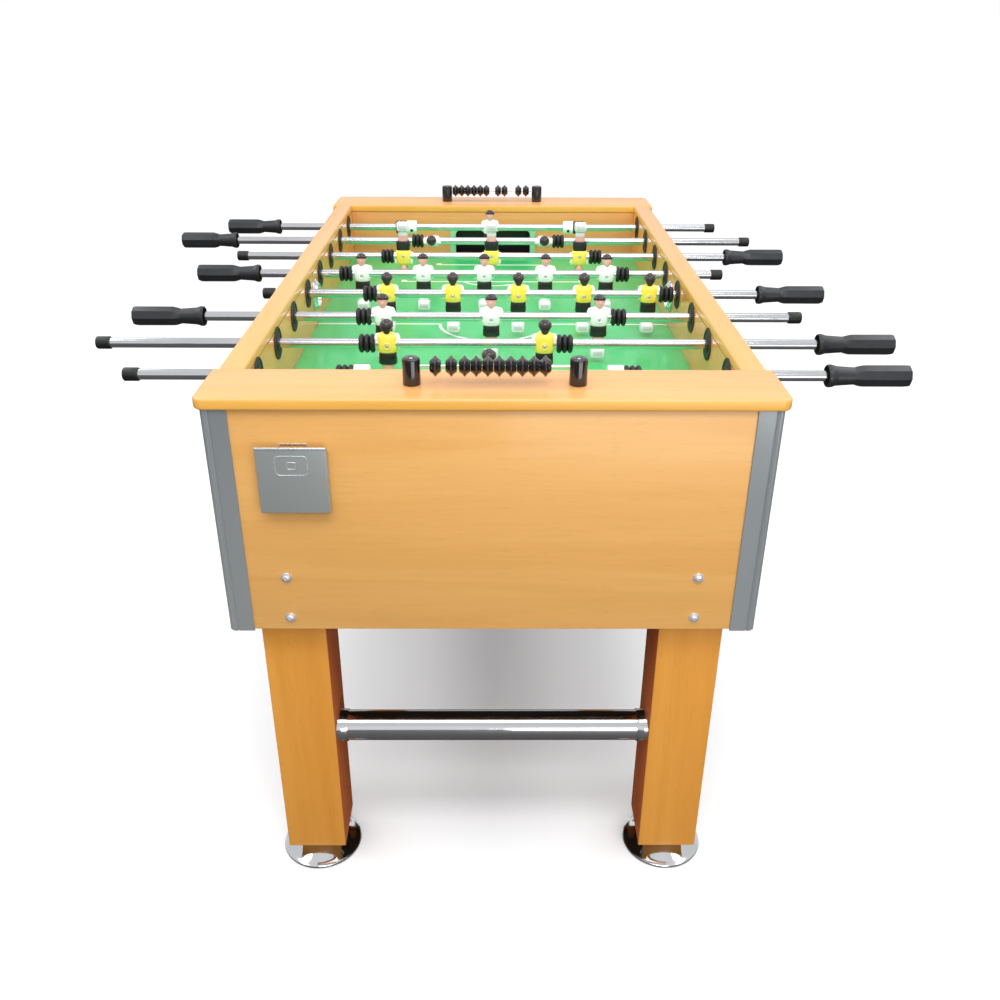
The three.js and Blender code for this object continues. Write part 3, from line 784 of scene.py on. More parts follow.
def table_leg(lo, hi, inward_x):
    bm = block(lo, hi, LEG_EASE, 3)
    bottom = min(bm.faces, key=lambda face: face.calc_center_median().z + face.normal.z * 0.001)
    half = (hi.x - lo.x) / 2
    bmesh.ops.inset_region(
        bm, faces=[bottom], thickness=half - STEM_ROOM_HALF_WIDTH, use_even_offset=True
    )
    pull(bm, [bottom], (0, 0, STEM_ROOM))
    bmesh.ops.delete(bm, geom=[bottom], context="FACES_ONLY")
    bmesh.ops.recalc_face_normals(bm, faces=bm.faces[:])
    # faces towards the other leg take the darker foil, which is painted shade
    for face in bm.faces:
        face.material_index = 1 if face.normal.x * inward_x > 0.9 else 0
    return bm


for corner, sign in CORNERS:
    lo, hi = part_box(f"{corner}_leg")
    place_piece(
        f"{corner}_square_leg", table_leg(lo, hi, -sign.x), [leg_foil, leg_painted_shade_foil], "table",
        [f"{corner}_leg"],
    )
print("legs", round(hi.z - lo.z, 3), "m long")

# %% Levelling feet
FOOT_PROFILE = [
    (0, 0), (50, 0), (62.5, 0.6), (65, 1.6), (66, 3.4), (65.6, 5.2), (63.8, 6.3), (61.5, 6.9),
    (56, 9.4), (50, 12.4), (44, 15.3), (38, 18.0), (33, 20.0), (29.5, 21.6), (27, 23.2),
    (25.6, 25.4), (25.2, 30), (24.6, 33), (23, 34.4), (21.5, 34.7), (6, 34.7), (6, 64.6),
    (5, 65.6), (0, 65.6),
]
for corner, sign in CORNERS:
    lo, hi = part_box(f"{corner}_leveller")
    profile = [(radius * MM, along * MM) for radius, along in FOOT_PROFILE]
    bm = spun(profile, 64)
    bm.transform(Matrix.Translation(((lo.x + hi.x) / 2, (lo.y + hi.y) / 2, lo.z)))
    place_piece(
        f"{corner}_foot", bm, [chrome], f"{corner}_foot", [f"{corner}_leveller"]
    )
print("feet", round(hi.x - lo.x, 3), "m across")

# %% [markdown]
# The brace between two legs is a chromed tube that ends in shallow round sockets. Tube and sockets
# are one spun profile each.

# %% Braces
SOCKET_LENGTH = 17 * MM
SOCKET_WALL = 1.7 * MM
SOCKET_FIT = 0.1 * MM
for end in ("front", "rear"):
    lo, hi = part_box(f"{end}_brace")
    radius = (hi.z - lo.z) / 2
    centre = Vector((0, (lo.y + hi.y) / 2, (lo.z + hi.z) / 2))
    tube = [(0, lo.x), (radius, lo.x), (radius, hi.x), (0, hi.x)]
    bm = spun(tube, 64, "x")
    inner = hi.x - SOCKET_LENGTH
    socket = [
        (radius + SOCKET_FIT, hi.x), (radius + SOCKET_WALL, hi.x),
        (radius + SOCKET_WALL, inner + 1 * MM), (radius + 1.0 * MM, inner),
        (radius + SOCKET_FIT, inner),
    ]
    for turn in (math.pi, 0):
        add(bm, spun(socket, 64, "x", ring=True), Matrix.Rotation(turn, 4, "Z"))
    bm.transform(Matrix.Translation(centre))
    place_piece(f"{end}_brace_tube", bm, [chrome], "table", [f"{end}_brace"], sharp=40)
print("braces", round(hi.x - lo.x, 3), "m long")

# %% [markdown]
# ## Bolts
# Each leg is held by four button-head bolts with washers, two through each of the panels that meet
# at its corner. Washer and head are one spun profile each. The head has a round recess for its key.

# %% Leg bolts
BOLT_Z = (-155 * MM, -222 * MM)
BOLT_INSET = 4.5 * MM


def bolt(place):
    """A button head and its washer, pointing along +Z before it is placed."""
    washer = [(0, 0), (7.8, 0), (7.8, 0.9), (7.4, 1.3), (0, 1.3)]
    head = [(0, 1.2), (5.6, 1.2), (5.6, 2.2), (5.1, 3.7), (4.1, 4.6), (3.0, 5.0), (2.3, 5.1)]
    socket = [(2.2, 4.9), (2.2, 2.6), (0, 2.6)]
    bm = spun([(r * MM, z * MM) for r, z in washer], 32)
    add(bm, spun([(r * MM, z * MM) for r, z in head + socket], 30), finish=0)
    bm.transform(place)
    return bm


BOLT_FACINGS = {
    "front": Matrix.Rotation(math.radians(90), 4, "X"),
    "rear": Matrix.Rotation(math.radians(-90), 4, "X"),
    "left": Matrix.Rotation(math.radians(-90), 4, "Y"),
    "right": Matrix.Rotation(math.radians(90), 4, "Y"),
}
leg_lo, leg_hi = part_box("rear_right_leg")
leg_x = (leg_lo.x + leg_hi.x) / 2 - BOLT_INSET
leg_y = (leg_lo.y + leg_hi.y) / 2
for corner, sign in CORNERS:
    end, side = corner.split("_")
    bm = bmesh.new()
    for z in BOLT_Z:
        end_place = Matrix.Translation((sign.x * leg_x, sign.y * end_face_y, z))
        side_place = Matrix.Translation((sign.x * side_face_x, sign.y * leg_y, z))
        add(bm, bolt(end_place @ BOLT_FACINGS[end]))
        add(bm, bolt(side_place @ BOLT_FACINGS[side]))
    place_piece(f"{corner}_leg_bolts", bm, [zinc_and_tray_highlight], "table", sharp=30)
print("bolts", 4 * len(CORNERS))

# %% [markdown]
# ## Serve cups
# The ball is served through a hole in the middle of each side, lined with a bright metal cup that
# stands a little way into the well.

# %% Serve cups
CUP_PROFILE = [
    (20.2, 32.0), (20.2, -7.6), (20.8, -8.8), (22.0, -9.0), (23.2, -8.2), (25.2, -5.4),
    (27.8, -3.2), (29.6, -2.4), (30, -1.4), (29.8, -0.3), (23.0, -0.3), (23.0, 32.0),
]
cup_lo, cup_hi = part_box("right_serve_cup")
for side, turn in (("left", math.pi), ("right", 0)):
    profile = [(radius * MM, well_x + along * MM) for radius, along in CUP_PROFILE]
    bm = spun(profile, 48, "x", ring=True)
    bm.transform(Matrix.Rotation(turn, 4, "Z"))
    bm.transform(Matrix.Translation((0, 0, (cup_lo.z + cup_hi.z) / 2)))
    place_piece(f"{side}_serve_cup_liner", bm, [chrome], "table", [f"{side}_serve_cup"])
print("serve cups at", round((cup_lo.z + cup_hi.z) / 2, 3), "m above the field")

# %% [markdown]
# ## Scorers
# Two posts carry a wire, and ten double-cone beads slide on it. A bead is a lathe shape with a
# rounded ridge. Beads that move together in the mechanical model ride on the same body.

# %% Scorer posts and wire
POST_EASE = 1.2 * MM
WIRE_RADIUS = 1.7 * MM
for end in ("front", "rear"):
    lo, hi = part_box(f"{end}_scorer")
    y = (lo.y + hi.y) / 2
    post_radius = (hi.y - lo.y) / 2
    post_xs = (lo.x + post_radius, hi.x - post_radius)
    bead_lo, bead_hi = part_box(f"{end}_score_bead_stack")
    wire_z = (bead_lo.z + bead_hi.z) / 2
    post = [
        (0, lo.z), (post_radius - 0.5 * MM, lo.z), (post_radius, lo.z + 0.6 * MM),
        (post_radius, hi.z - 2 * POST_EASE),
        (post_radius - 0.4 * POST_EASE, hi.z - 0.6 * POST_EASE),
        (post_radius - 1.3 * POST_EASE, hi.z), (4 * MM, hi.z), (3.6 * MM, hi.z - 1.5 * MM),
        (0, hi.z - 1.5 * MM),
    ]
    screw = [
        (0, hi.z - 1.6 * MM), (3.0 * MM, hi.z - 1.6 * MM), (2.6 * MM, hi.z - 0.4 * MM), (0, hi.z),
    ]
    bm = bmesh.new()
    for x in post_xs:
        add(bm, spun(post, 40), Matrix.Translation((x, y, 0)), 0)
        add(bm, spun(screw, 20), Matrix.Translation((x, y, 0)), 1)
    wire_start, wire_end = post_xs
    wire = [(0, wire_start), (WIRE_RADIUS, wire_start), (WIRE_RADIUS, wire_end), (0, wire_end)]
    add(bm, spun(wire, 16, "x"), Matrix.Translation((0, y, wire_z)), 2)
    place_piece(
        f"{end}_scorer_posts", bm, [bead_plastic, zinc_and_tray_highlight, chrome], "table",
        [f"{end}_scorer"],
    )
print("scorer wire at", round(wire_z - rail_top, 3), "m above the rail")

# %% Beads
BEAD_PITCH = 15.2
BEAD_HALF_LENGTH = 7.65 * MM
BEAD_PROFILE = [
    (2.4, -7.4), (7.4, -7.4), (8.2, -6.6), (9.9, -4.2), (11.6, -2.4), (13.2, -1.3), (14, -0.4),
    (14, 0.4), (13.2, 1.3), (11.6, 2.4), (9.9, 4.2), (8.2, 6.6), (7.4, 7.4), (2.4, 7.4),
]
BEAD_GROUPS = {
    "front_score_bead": [0],
    "front_score_bead_stack": [0] + [17.6 + BEAD_PITCH * step for step in range(8)],
    "rear_score_bead_stack": [BEAD_PITCH * step for step in range(6)],
    "rear_score_bead_pairs": [0, 16, 50, 68.6],
}
for group, places in BEAD_GROUPS.items():
    lo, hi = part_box(group)
    first_x = lo.x + BEAD_HALF_LENGTH
    centre = (lo + hi) / 2
    for number, place in enumerate(places, 1):
        profile = [(radius * MM, along * MM) for radius, along in BEAD_PROFILE]
        bm = spun(profile, 40, "x", ring=True)
        bm.transform(Matrix.Translation((first_x + place * MM, centre.y, centre.z)))
        place_piece(
            f"{group}_{number}", bm, [bead_plastic], f"{group}_body", [group],
            sharp=60,
        )
print("beads", sum(len(places) for places in BEAD_GROUPS.values()))

# %% [markdown]
# ## The hanging tray
# A shallow open box of folded sheet steel hangs by a wire loop on its back wall. The box is a block
# without its top, given its thickness by solidify, and its back wall is a little lower. A rounded
# lip runs along the front edge. Below it are two plain pressed frames, rounded rings that stand out
# by half a millimetre. Lip and frames take the brighter zinc finish, a painted highlight on what is
# the same sheet.

# %% Tray
TRAY_SHEET = 1.2 * MM
TRAY_BACK_DROP = 9 * MM
LIP_FORWARD = 0.9 * MM
LIP_BACK = 2.6 * MM
LIP_DEPTH = 3.4 * MM
LIP_RISE = 0.3 * MM
LIP_ROUND = 1.5 * MM
PRESSED_HEIGHT = 0.55 * MM
PRESSED_DROP = 26 * MM
PRESSED_FRAMES = ((22, 14.5, 1.5), (6.5, 5.5, 1.3))
HANGER_WIRE = 1.5 * MM
HANGER_LEFT = -281 * MM
HANGER_RIGHT = -244 * MM
HANGER_RISE = 0.4 * MM
HANGER_OVERLAP = 4 * MM


def tray_box(lo, hi):
    bm = block(lo, hi)
    lid = max(bm.faces, key=lambda face: face.calc_center_median().z)
    bmesh.ops.delete(bm, geom=[lid], context="FACES_ONLY")
    for vert in bm.verts:
        if vert.co.y > (lo.y + hi.y) / 2 and vert.co.z > (lo.z + hi.z) / 2:
            vert.co.z -= TRAY_BACK_DROP
    corners = [edge for edge in bm.edges if not edge.is_boundary]
    bevel(bm, corners, 1.8 * MM, 3)
    bmesh.ops.recalc_face_normals(bm, faces=bm.faces[:])
    bmesh.ops.solidify(bm, geom=bm.faces[:], thickness=TRAY_SHEET)
    bmesh.ops.recalc_face_normals(bm, faces=bm.faces[:])
    return bm


def pressed_frame(centre, half_width, half_height, bar):
    """A flat rounded ring on the front of the tray."""
    bm = bmesh.new()
    corners = [(-1, -1), (1, -1), (1, 1), (-1, 1)]
    verts = [bm.verts.new((x * half_width, 0, z * half_height)) for x, z in corners]
    bm.faces.new(verts)
    bmesh.ops.bevel(
        bm, geom=bm.verts[:], offset=half_height * 0.45, segments=6, profile=0.5,
        affect="VERTICES", material=-1,
    )
    ring = bmesh.ops.inset_region(
        bm, faces=bm.faces[:], thickness=bar, use_even_offset=True, use_boundary=True,
    )["faces"]
    middle = [face for face in bm.faces if face not in ring]
    bmesh.ops.delete(bm, geom=middle, context="FACES")
    pull(bm, bm.faces[:], (0, -PRESSED_HEIGHT, 0))
    bmesh.ops.recalc_face_normals(bm, faces=bm.faces[:])
    bevel(bm, [edge for edge in bm.edges if edge.calc_face_angle(0) > 1.2], 0.2 * MM, 1)
    bm.transform(Matrix.Translation(centre))
    return bm


tray_lo, tray_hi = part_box("hanging_tray")
tray = tray_box(tray_lo, tray_hi)
lip_lo = (tray_lo.x, tray_lo.y - LIP_FORWARD, tray_hi.z - LIP_DEPTH)
lip_hi = (tray_hi.x, tray_lo.y + LIP_BACK, tray_hi.z + LIP_RISE)
# the lip takes the brighter zinc finish, a painted highlight
add(tray, block(lip_lo, lip_hi, LIP_ROUND, 4), finish=1)
tray_x = (tray_lo.x + tray_hi.x) / 2
pressed_centre = Vector((tray_x, tray_lo.y + 0.1 * MM, tray_hi.z - PRESSED_DROP))
# the pressed frames take the brighter zinc finish too, a painted highlight
for half_width, half_height, bar in PRESSED_FRAMES:
    pressed = pressed_frame(pressed_centre, half_width * MM, half_height * MM, bar * MM)
    add(tray, pressed, finish=1)
place_piece("tray_box", tray, [tray_steel, zinc_and_tray_highlight], "tray", ["hanging_tray"])

hanger_back = tray_hi.y
hanger_front = hanger_back - HANGER_WIRE
hanger_top = tray_hi.z + HANGER_RISE
hanger = block(
    (HANGER_LEFT, hanger_front, hanger_top - HANGER_WIRE), (HANGER_RIGHT, hanger_back, hanger_top),
    0.5 * MM, 3,
)
for x in (HANGER_LEFT, HANGER_RIGHT - HANGER_WIRE):
    wire_foot = (x, hanger_front, tray_hi.z - TRAY_BACK_DROP - HANGER_OVERLAP)
    wire_top = (x + HANGER_WIRE, hanger_back, hanger_top - 0.5 * MM)
    add(hanger, block(wire_foot, wire_top, 0.4 * MM, 2))
place_piece("tray_hanger", hanger, [zinc_and_tray_highlight], "tray")
print("tray", round(tray_hi.x - tray_lo.x, 3), "m wide")

# %% [markdown]
# ## Rods
# Everything on a rod is counted from the middle of its row of men, and the white team's rods are
# turned half round, because their handles are on the other side. The box of the rod's handle in the
# mechanical model gives how far it is pushed along. `KINDS` holds the sizes of the four sorts of
# rod, and the sizes from here to the handles are in millimetres unless they are multiplied by MM.
# `TURNED` gives the rods that rest with their men turned, in degrees.

# %% What is on each rod
KINDS = {
    "goalie": {"men": [0], "bumper": 223, "handle": 617, "cap": 533, "collars": [-185, 185]},
    "defence": {"men": [-125, 125], "bumper": 170, "handle": 682, "cap": 586, "collars": []},
    "midfield": {
        "men": [-242, -121, 0, 121, 242], "bumper": 286.5, "handle": 565, "cap": 472, "collars": [],
    },
    "attack": {"men": [-185.5, 0, 185.5], "bumper": 232, "handle": 614, "cap": 535, "collars": []},
}
TURNED = {"yellow_attack": 180, "white_defence": 77}
ROD_RADIUS = 8 * MM
CAP_LENGTH = 23
HANDLE_LENGTH = 122
BUMPER_LENGTH = 26
CAP_OVERLAP = 2
ROD_SHORT_OF_TIP = 25

rods = []
for joint in frame["joints"]:
    if not joint["name"].endswith("_spin"):
        continue
    name = joint["name"].removesuffix("_spin")
    team, sort = name.split("_")
    kind = KINDS[sort]
    lo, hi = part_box(f"{name}_handle")
    if team == "yellow":
        middle_x = hi.x - kind["handle"] * MM
    else:
        middle_x = lo.x + kind["handle"] * MM
    centre = Vector((middle_x, joint["pos_m"][1], joint["pos_m"][2]))
    facing = Matrix.Rotation(math.pi if team == "white" else 0, 4, "Z")
    swing = Matrix.Rotation(math.radians(TURNED.get(name, 0)), 4, "X")
    still = Matrix.Translation(centre) @ facing
    spinning = Matrix.Translation(centre) @ swing @ facing
    rods.append({"name": name, "team": team, "kind": kind, "still": still, "spinning": spinning})
print("rods", [(rod["name"], round(rod["still"].translation.x, 3)) for rod in rods])

# %% [markdown]
# The steel of a rod is drawn tube with a bright finish, and needs only a spun profile. Its ends are
# hidden by the rubber cap and the handle.

# %% Rod tubes, end caps and collars
CAP_PROFILE = [
    (0, 0), (6.5, 0), (8.6, 0.5), (9.7, 1.6), (10, 3.2), (10, 20.5), (9.8, 22.2), (9.2, 23),
    (0, 23),
]
COLLAR_PROFILE = [
    (8.1, -11.7), (13.4, -11.7), (14.6, -11), (15, -9.8), (15, 9.8), (14.6, 11), (13.4, 11.7),
    (8.1, 11.7),
]
COLLAR_SCREW_PROFILE = [(0, 13.6), (3.6, 13.6), (3.6, 15.5), (2.6, 16.2), (0, 16.2)]
COLLAR_SCREW_TURN = -110


def profile_at(points, start=0.0):
    return [(radius * MM, (start + along) * MM) for radius, along in points]


for rod in rods:
    name, kind = rod["name"], rod["kind"]
    start = (-kind["cap"] + CAP_LENGTH - CAP_OVERLAP) * MM
    stop = (kind["handle"] - ROD_SHORT_OF_TIP) * MM
    tube = spun([(0, start), (ROD_RADIUS, start), (ROD_RADIUS, stop), (0, stop)], 40, "x")
    tube.transform(rod["spinning"])
    place_piece(
        f"{name}_tube", tube, [rod_steel], f"{name}_spinner", [f"{name}_rod"]
    )
    cap = spun(profile_at(CAP_PROFILE, -kind["cap"]), 40, "x")
    cap.transform(rod["spinning"])
    place_piece(f"{name}_end_cap", cap, [black_rubber], f"{name}_spinner")
    for number, x in enumerate(kind["collars"], 1):
        collar = spun(profile_at(COLLAR_PROFILE, x), 48, "x", ring=True)
        screw = spun(profile_at(COLLAR_SCREW_PROFILE), 24)
        screw.transform(Matrix.Rotation(math.radians(COLLAR_SCREW_TURN), 4, "X"))
        add(collar, screw, Matrix.Translation((x * MM, 0, 0)), 1)
        collar.transform(rod["spinning"])
        place_piece(
            f"{name}_collar_{number}", collar, [white_jersey, black_plastic], f"{name}_spinner",
        )
print("tubes", len(rods))

# %% [markdown]
# Rubber bumpers have three rounded ribs. The profile follows a sine raised to a power, so that the
# rib's rounding and the sharp valley between two ribs come from one formula.

# %% Bumpers
RIBS = 3
VALLEY_RADIUS = 10.2
RIB_RADIUS = 15
RIB_FULLNESS = 0.6


def bumper_profile():
    points = [(8.1, 0), (9.5, 0)]
    steps = 10 * RIBS
    for step in range(steps + 1):
        along = BUMPER_LENGTH * step / steps
        wave = abs(math.sin(math.pi * RIBS * step / steps)) ** RIB_FULLNESS
        points.append((VALLEY_RADIUS + (RIB_RADIUS - VALLEY_RADIUS) * wave, along))
    return points + [(9.5, BUMPER_LENGTH), (8.1, BUMPER_LENGTH)]


for rod in rods:
    name, outer = rod["name"], rod["kind"]["bumper"]
    places = {"handle_side": outer - BUMPER_LENGTH, "cap_side": -outer}
    for side, start in places.items():
        bumper = spun(profile_at(bumper_profile(), start), 40, "x", ring=True)
        bumper.transform(rod["still"])
        stands_for = [f"{name}_bumper"] if side == "handle_side" else []
        place_piece(
            f"{name}_bumper_{side}", bumper, [black_rubber], f"{name}_slider",
            stands_for, sharp=50,
        )
print("bumpers", 2 * len(rods))

# %% [markdown]
# ## Bearings
# Where a rod passes through a side there is a plastic bearing: a thin flange with a hub inside the
# well, and a six-sided nut with a collar outside. The flange has to stay thin, because the bumpers
# come right up to it.

# %% Bearings
FLANGE_PROFILE = [
    (8.6, 3.0), (8.6, -3.2), (12.6, -3.2), (13.2, -2.6), (13.4, -1.4), (21.5, -1.2), (22.4, -2.2),
    (25.0, -2.2), (26, -1.4), (26, -0.2), (14, -0.2), (14, 3.0),
]
NUT_COLLAR_PROFILE = [(8.6, 32.2), (8.6, 39), (12, 39), (12, 32.2)]
NUT_RINGS = [(32.2, 15.5), (33, 16.6), (37.4, 16.6), (38.2, 15.5)]


def bearing():
    bm = spun(profile_at(FLANGE_PROFILE), 48, "x", ring=True)
    add(bm, spun(profile_at(NUT_COLLAR_PROFILE), 48, "x", ring=True))
    nut = loft([(0, 0, z * MM, r * MM, r * MM) for z, r in NUT_RINGS], 6)
    add(bm, nut, AXIS_TURNS["x"])
    return bm


for rod in rods:
    y, z = rod["still"].translation.yz
    for side, turn in (("left", math.pi), ("right", 0)):
        bm = bearing()
        bm.transform(Matrix.Rotation(turn, 4, "Z") @ Matrix.Translation((well_x, 0, z)))
        bm.transform(Matrix.Translation((0, y, 0)))
        place_piece(
            f"{rod['name']}_bearing_{side}", bm, [bearing_plastic], "table",
            sharp=30,
        )
print("bearings", 2 * len(rods))

# %% [markdown]
# ## Handles
# The grip is an octagon that fades into a round waist and a flared collar. A loft can do that: each
# ring has 48 sides, and a formula pushes its points from a circle towards an octagon by the ring's
# own share, from 0 for round to 1 for eight flat faces.

# %% Handles
HANDLE_SIDES = 48
GRIP_WALL = 6.2 * MM
GRIP_BORE_DEPTH = 90 * MM
# each ring: distance along, radius, and how far it is an octagon
HANDLE_RINGS = [
    (0, 15.4, 0), (1.2, 16.6, 0), (5, 16.9, 0), (9, 16.0, 0), (14, 14.2, 0), (20, 12.7, 0),
    (27, 11.8, 0), (34, 11.8, 0.1), (40, 13.0, 0.5), (46, 15.1, 0.9), (51, 16.4, 1),
    (55, 16.7, 1), (114, 16.8, 1), (118.5, 16.5, 1), (121, 15.2, 1), (122, 13.2, 1),
]


def handle_grip():
    bm = bmesh.new()
    loops = []
    for along, radius, octagon in HANDLE_RINGS:
        ring = bmesh.ops.create_circle(bm, radius=radius * MM, segments=HANDLE_SIDES)["verts"]
        for vert in ring:
            angle = math.atan2(vert.co.y, vert.co.x) % math.radians(45)
            flat = math.cos(math.radians(22.5)) / math.cos(angle - math.radians(22.5))
            vert.co *= 1 + octagon * (flat - 1)
        bmesh.ops.translate(bm, vec=(0, 0, along * MM), verts=ring)
        loops.append(list({edge for vert in ring for edge in vert.link_edges}))
    for lower, upper in zip(loops, loops[1:]):
        bmesh.ops.bridge_loops(bm, edges=lower + upper)
    bmesh.ops.contextual_create(bm, geom=loops[-1])
    mouth = bmesh.ops.contextual_create(bm, geom=loops[0])["faces"][0]
    bmesh.ops.inset_region(bm, faces=[mouth], thickness=GRIP_WALL, use_even_offset=True)
    bmesh.ops.translate(bm, vec=(0, 0, GRIP_BORE_DEPTH), verts=mouth.verts[:])
    bmesh.ops.recalc_face_normals(bm, faces=bm.faces[:])
    bm.transform(AXIS_TURNS["x"])
    return bm


for rod in rods:
    name = rod["name"]
    start = rod["kind"]["handle"] - HANDLE_LENGTH
    grip = handle_grip()
    grip.transform(rod["spinning"] @ Matrix.Translation((start * MM, 0, 0)))
    place_piece(
        f"{name}_grip", grip, [grip_plastic], f"{name}_spinner",
        [f"{name}_handle"], sharp=14,
    )
print("handles", len(rods))

# %% [markdown]
# ## The men
# A man is moulded in one piece and painted, so each painted zone becomes one shape with its own
# material: boots, socks, knees, shorts, shirt, sleeves, neck, head, hair and a headband. The face
# stays plain, with only a brow, a nose and a mouth. The figure is built facing -Y, with the rod
# through its chest at the origin.

# %% One man
MAN_FINISHES = {
    "yellow": [yellow_jersey, white_jersey, skin_paint, hair_paint, shorts_paint, sock_paint,
               boot_face, band_grey, zinc_and_tray_highlight],
    "white": [white_jersey, white_jersey, skin_paint, hair_paint, shorts_paint, sock_paint,
              boot_face, band_black, zinc_and_tray_highlight],
}
SHIRT, SLEEVE, SKIN, HAIR, SHORTS, SOCK, BOOT, BAND, SCREW = range(9)


def body_part(rings, squareness, sides=28):
    """Rings of (height, half width, half depth, forward) in millimetres."""
    scaled = [(0, -forward * MM, z * MM, w * MM, d * MM) for z, w, d, forward in rings]
    return loft(scaled, sides, squareness)


def ball(radii, centre, tilt=0.0, steps=16):
    bm = bmesh.new()
    bmesh.ops.create_uvsphere(bm, u_segments=steps + 4, v_segments=steps, radius=1.0)
    size = Matrix.Diagonal((radii[0] * MM, radii[1] * MM, radii[2] * MM, 1))
    place = Matrix.Translation(Vector(centre) * MM)
    bm.transform(place @ Matrix.Rotation(math.radians(tilt), 4, "X") @ size)
    return bm


def head():
    """A plain head: an egg that narrows to the chin, a brow, a nose, a mouth and two ears."""
    bm = ball((9, 10.4, 11.2), (0, 0, 28), steps=20)
    for vert in bm.verts:
        drop = max(0.0, (29 * MM - vert.co.z) / (12 * MM))
        vert.co.x *= 1 - 0.36 * drop**1.4
        vert.co.y -= 3.4 * MM * drop
        vert.co.z -= 1.6 * MM * drop
    add(bm, ball((1.4, 2.2, 2.7), (0, -10.2, 26.2), 18, 8))
    add(bm, ball((5.0, 1.4, 1.0), (0, -9.3, 30.0), 0, 8))
    add(bm, ball((2.4, 1.1, 0.75), (0, -10.3, 21.6), 0, 8))
    for x in (-8.9, 8.9):
        add(bm, ball((1.0, 1.9, 2.6), (x, 0.6, 27.4), 0, 8))
    return bm


def hair():
    """A cap of hair: a larger egg, cut by a slanting plane, and a nape down to the collar."""
    bm = ball((10.9, 11.3, 11.4), (0, 0.5, 28.6), steps=20)
    for vert in bm.verts:
        drop = max(0.0, (29 * MM - vert.co.z) / (12 * MM))
        vert.co.x *= 1 - 0.42 * drop**1.3
    slope = Vector((0, 0.28, 0.96)).normalized()
    cut = bmesh.ops.bisect_plane(
        bm, geom=bm.verts[:] + bm.edges[:] + bm.faces[:], plane_co=(0, 0, 30.4 * MM),
        plane_no=slope, clear_inner=True,
    )["geom_cut"]
    rim = [item for item in cut if isinstance(item, bmesh.types.BMEdge)]
    bmesh.ops.contextual_create(bm, geom=rim)
    bmesh.ops.recalc_face_normals(bm, faces=bm.faces[:])
    nape = [
        (16.4, 3.2, 2.0, -5.0), (19, 4.6, 2.8, -5.8), (23, 6.8, 4.0, -6.2), (27, 8.4, 5.0, -6.0),
        (30, 9.2, 5.6, -5.4),
    ]
    add(bm, body_part(nape, 2.0, 24))
    return bm


def headband():
    section = [(9.6, -1.4), (10.8, -1.4), (11.2, 0), (10.8, 1.4), (9.6, 1.4)]
    bm = spun(profile_at(section), 32, ring=True)
    tilt = Matrix.Rotation(math.radians(-9), 4, "X")
    place = Matrix.Translation((0, 0.3 * MM, 32 * MM))
    bm.transform(place @ tilt @ Matrix.Diagonal((0.96, 1.0, 1, 1)))
    return bm


def sleeve(side):
    """Rings of (height, half width, half depth, distance aside) in millimetres."""
    rings = [
        (16.0, 1.6, 4.4, 14.6), (14.6, 2.8, 6.2, 16), (10, 3.5, 7.2, 17.2), (3, 3.5, 7.0, 17.6),
        (-3.4, 3.2, 6.4, 17.9), (-7, 2.8, 5.8, 18), (-8.4, 1.8, 4.6, 18),
    ]
    scaled = [(side * x * MM, 0, z * MM, w * MM, d * MM) for z, w, d, x in rings]
    return loft(scaled, 20, 2.5)


def shirt_screw():
    """A round recess rim with a small cross-head screw in it, on the chest or the back. Its cross
    is black paint, painted shade for the screw's slots.
    """
    rim = spun(profile_at([(4.4, 9), (4.4, 11.5), (5.0, 12), (5.8, 11.5), (5.8, 9)]), 28, ring=True)
    screw = spun(profile_at([(0, 9), (3.2, 9), (3.2, 11.1), (2.6, 11.6), (0, 11.8)]), 20)
    # the black cross is painted shade standing for the screw's slots
    for width, depth in ((2.2, 0.45), (0.45, 2.2)):
        painted_shade_slot = block((-width * MM, -depth * MM, 11.3 * MM), (width * MM, depth * MM, 11.95 * MM))
        add(screw, painted_shade_slot, finish=SHORTS)
    return rim, screw


def boots():
    """The striking block, with a shallow grey pad on its front and on its back."""
    bm = body_part(
        [(-52.5, 9.4, 8.2, 0), (-54.5, 11.6, 10.6, 0), (-57, 12.2, 11.6, 0), (-67, 12.2, 12, 0),
         (-69.2, 11.8, 11.4, 0), (-70, 10.8, 10.2, 0)], 6.0, 32)
    for face in bm.faces:
        face.material_index = SOCK
    for facing in (-1, 1):
        pad = block((-8.2 * MM, -0.9 * MM, -66 * MM), (8.2 * MM, 0.9 * MM, -58 * MM), 0.7 * MM, 2)
        add(bm, pad, Matrix.Translation((0, facing * 11.6 * MM, 0)), BOOT)
    return bm


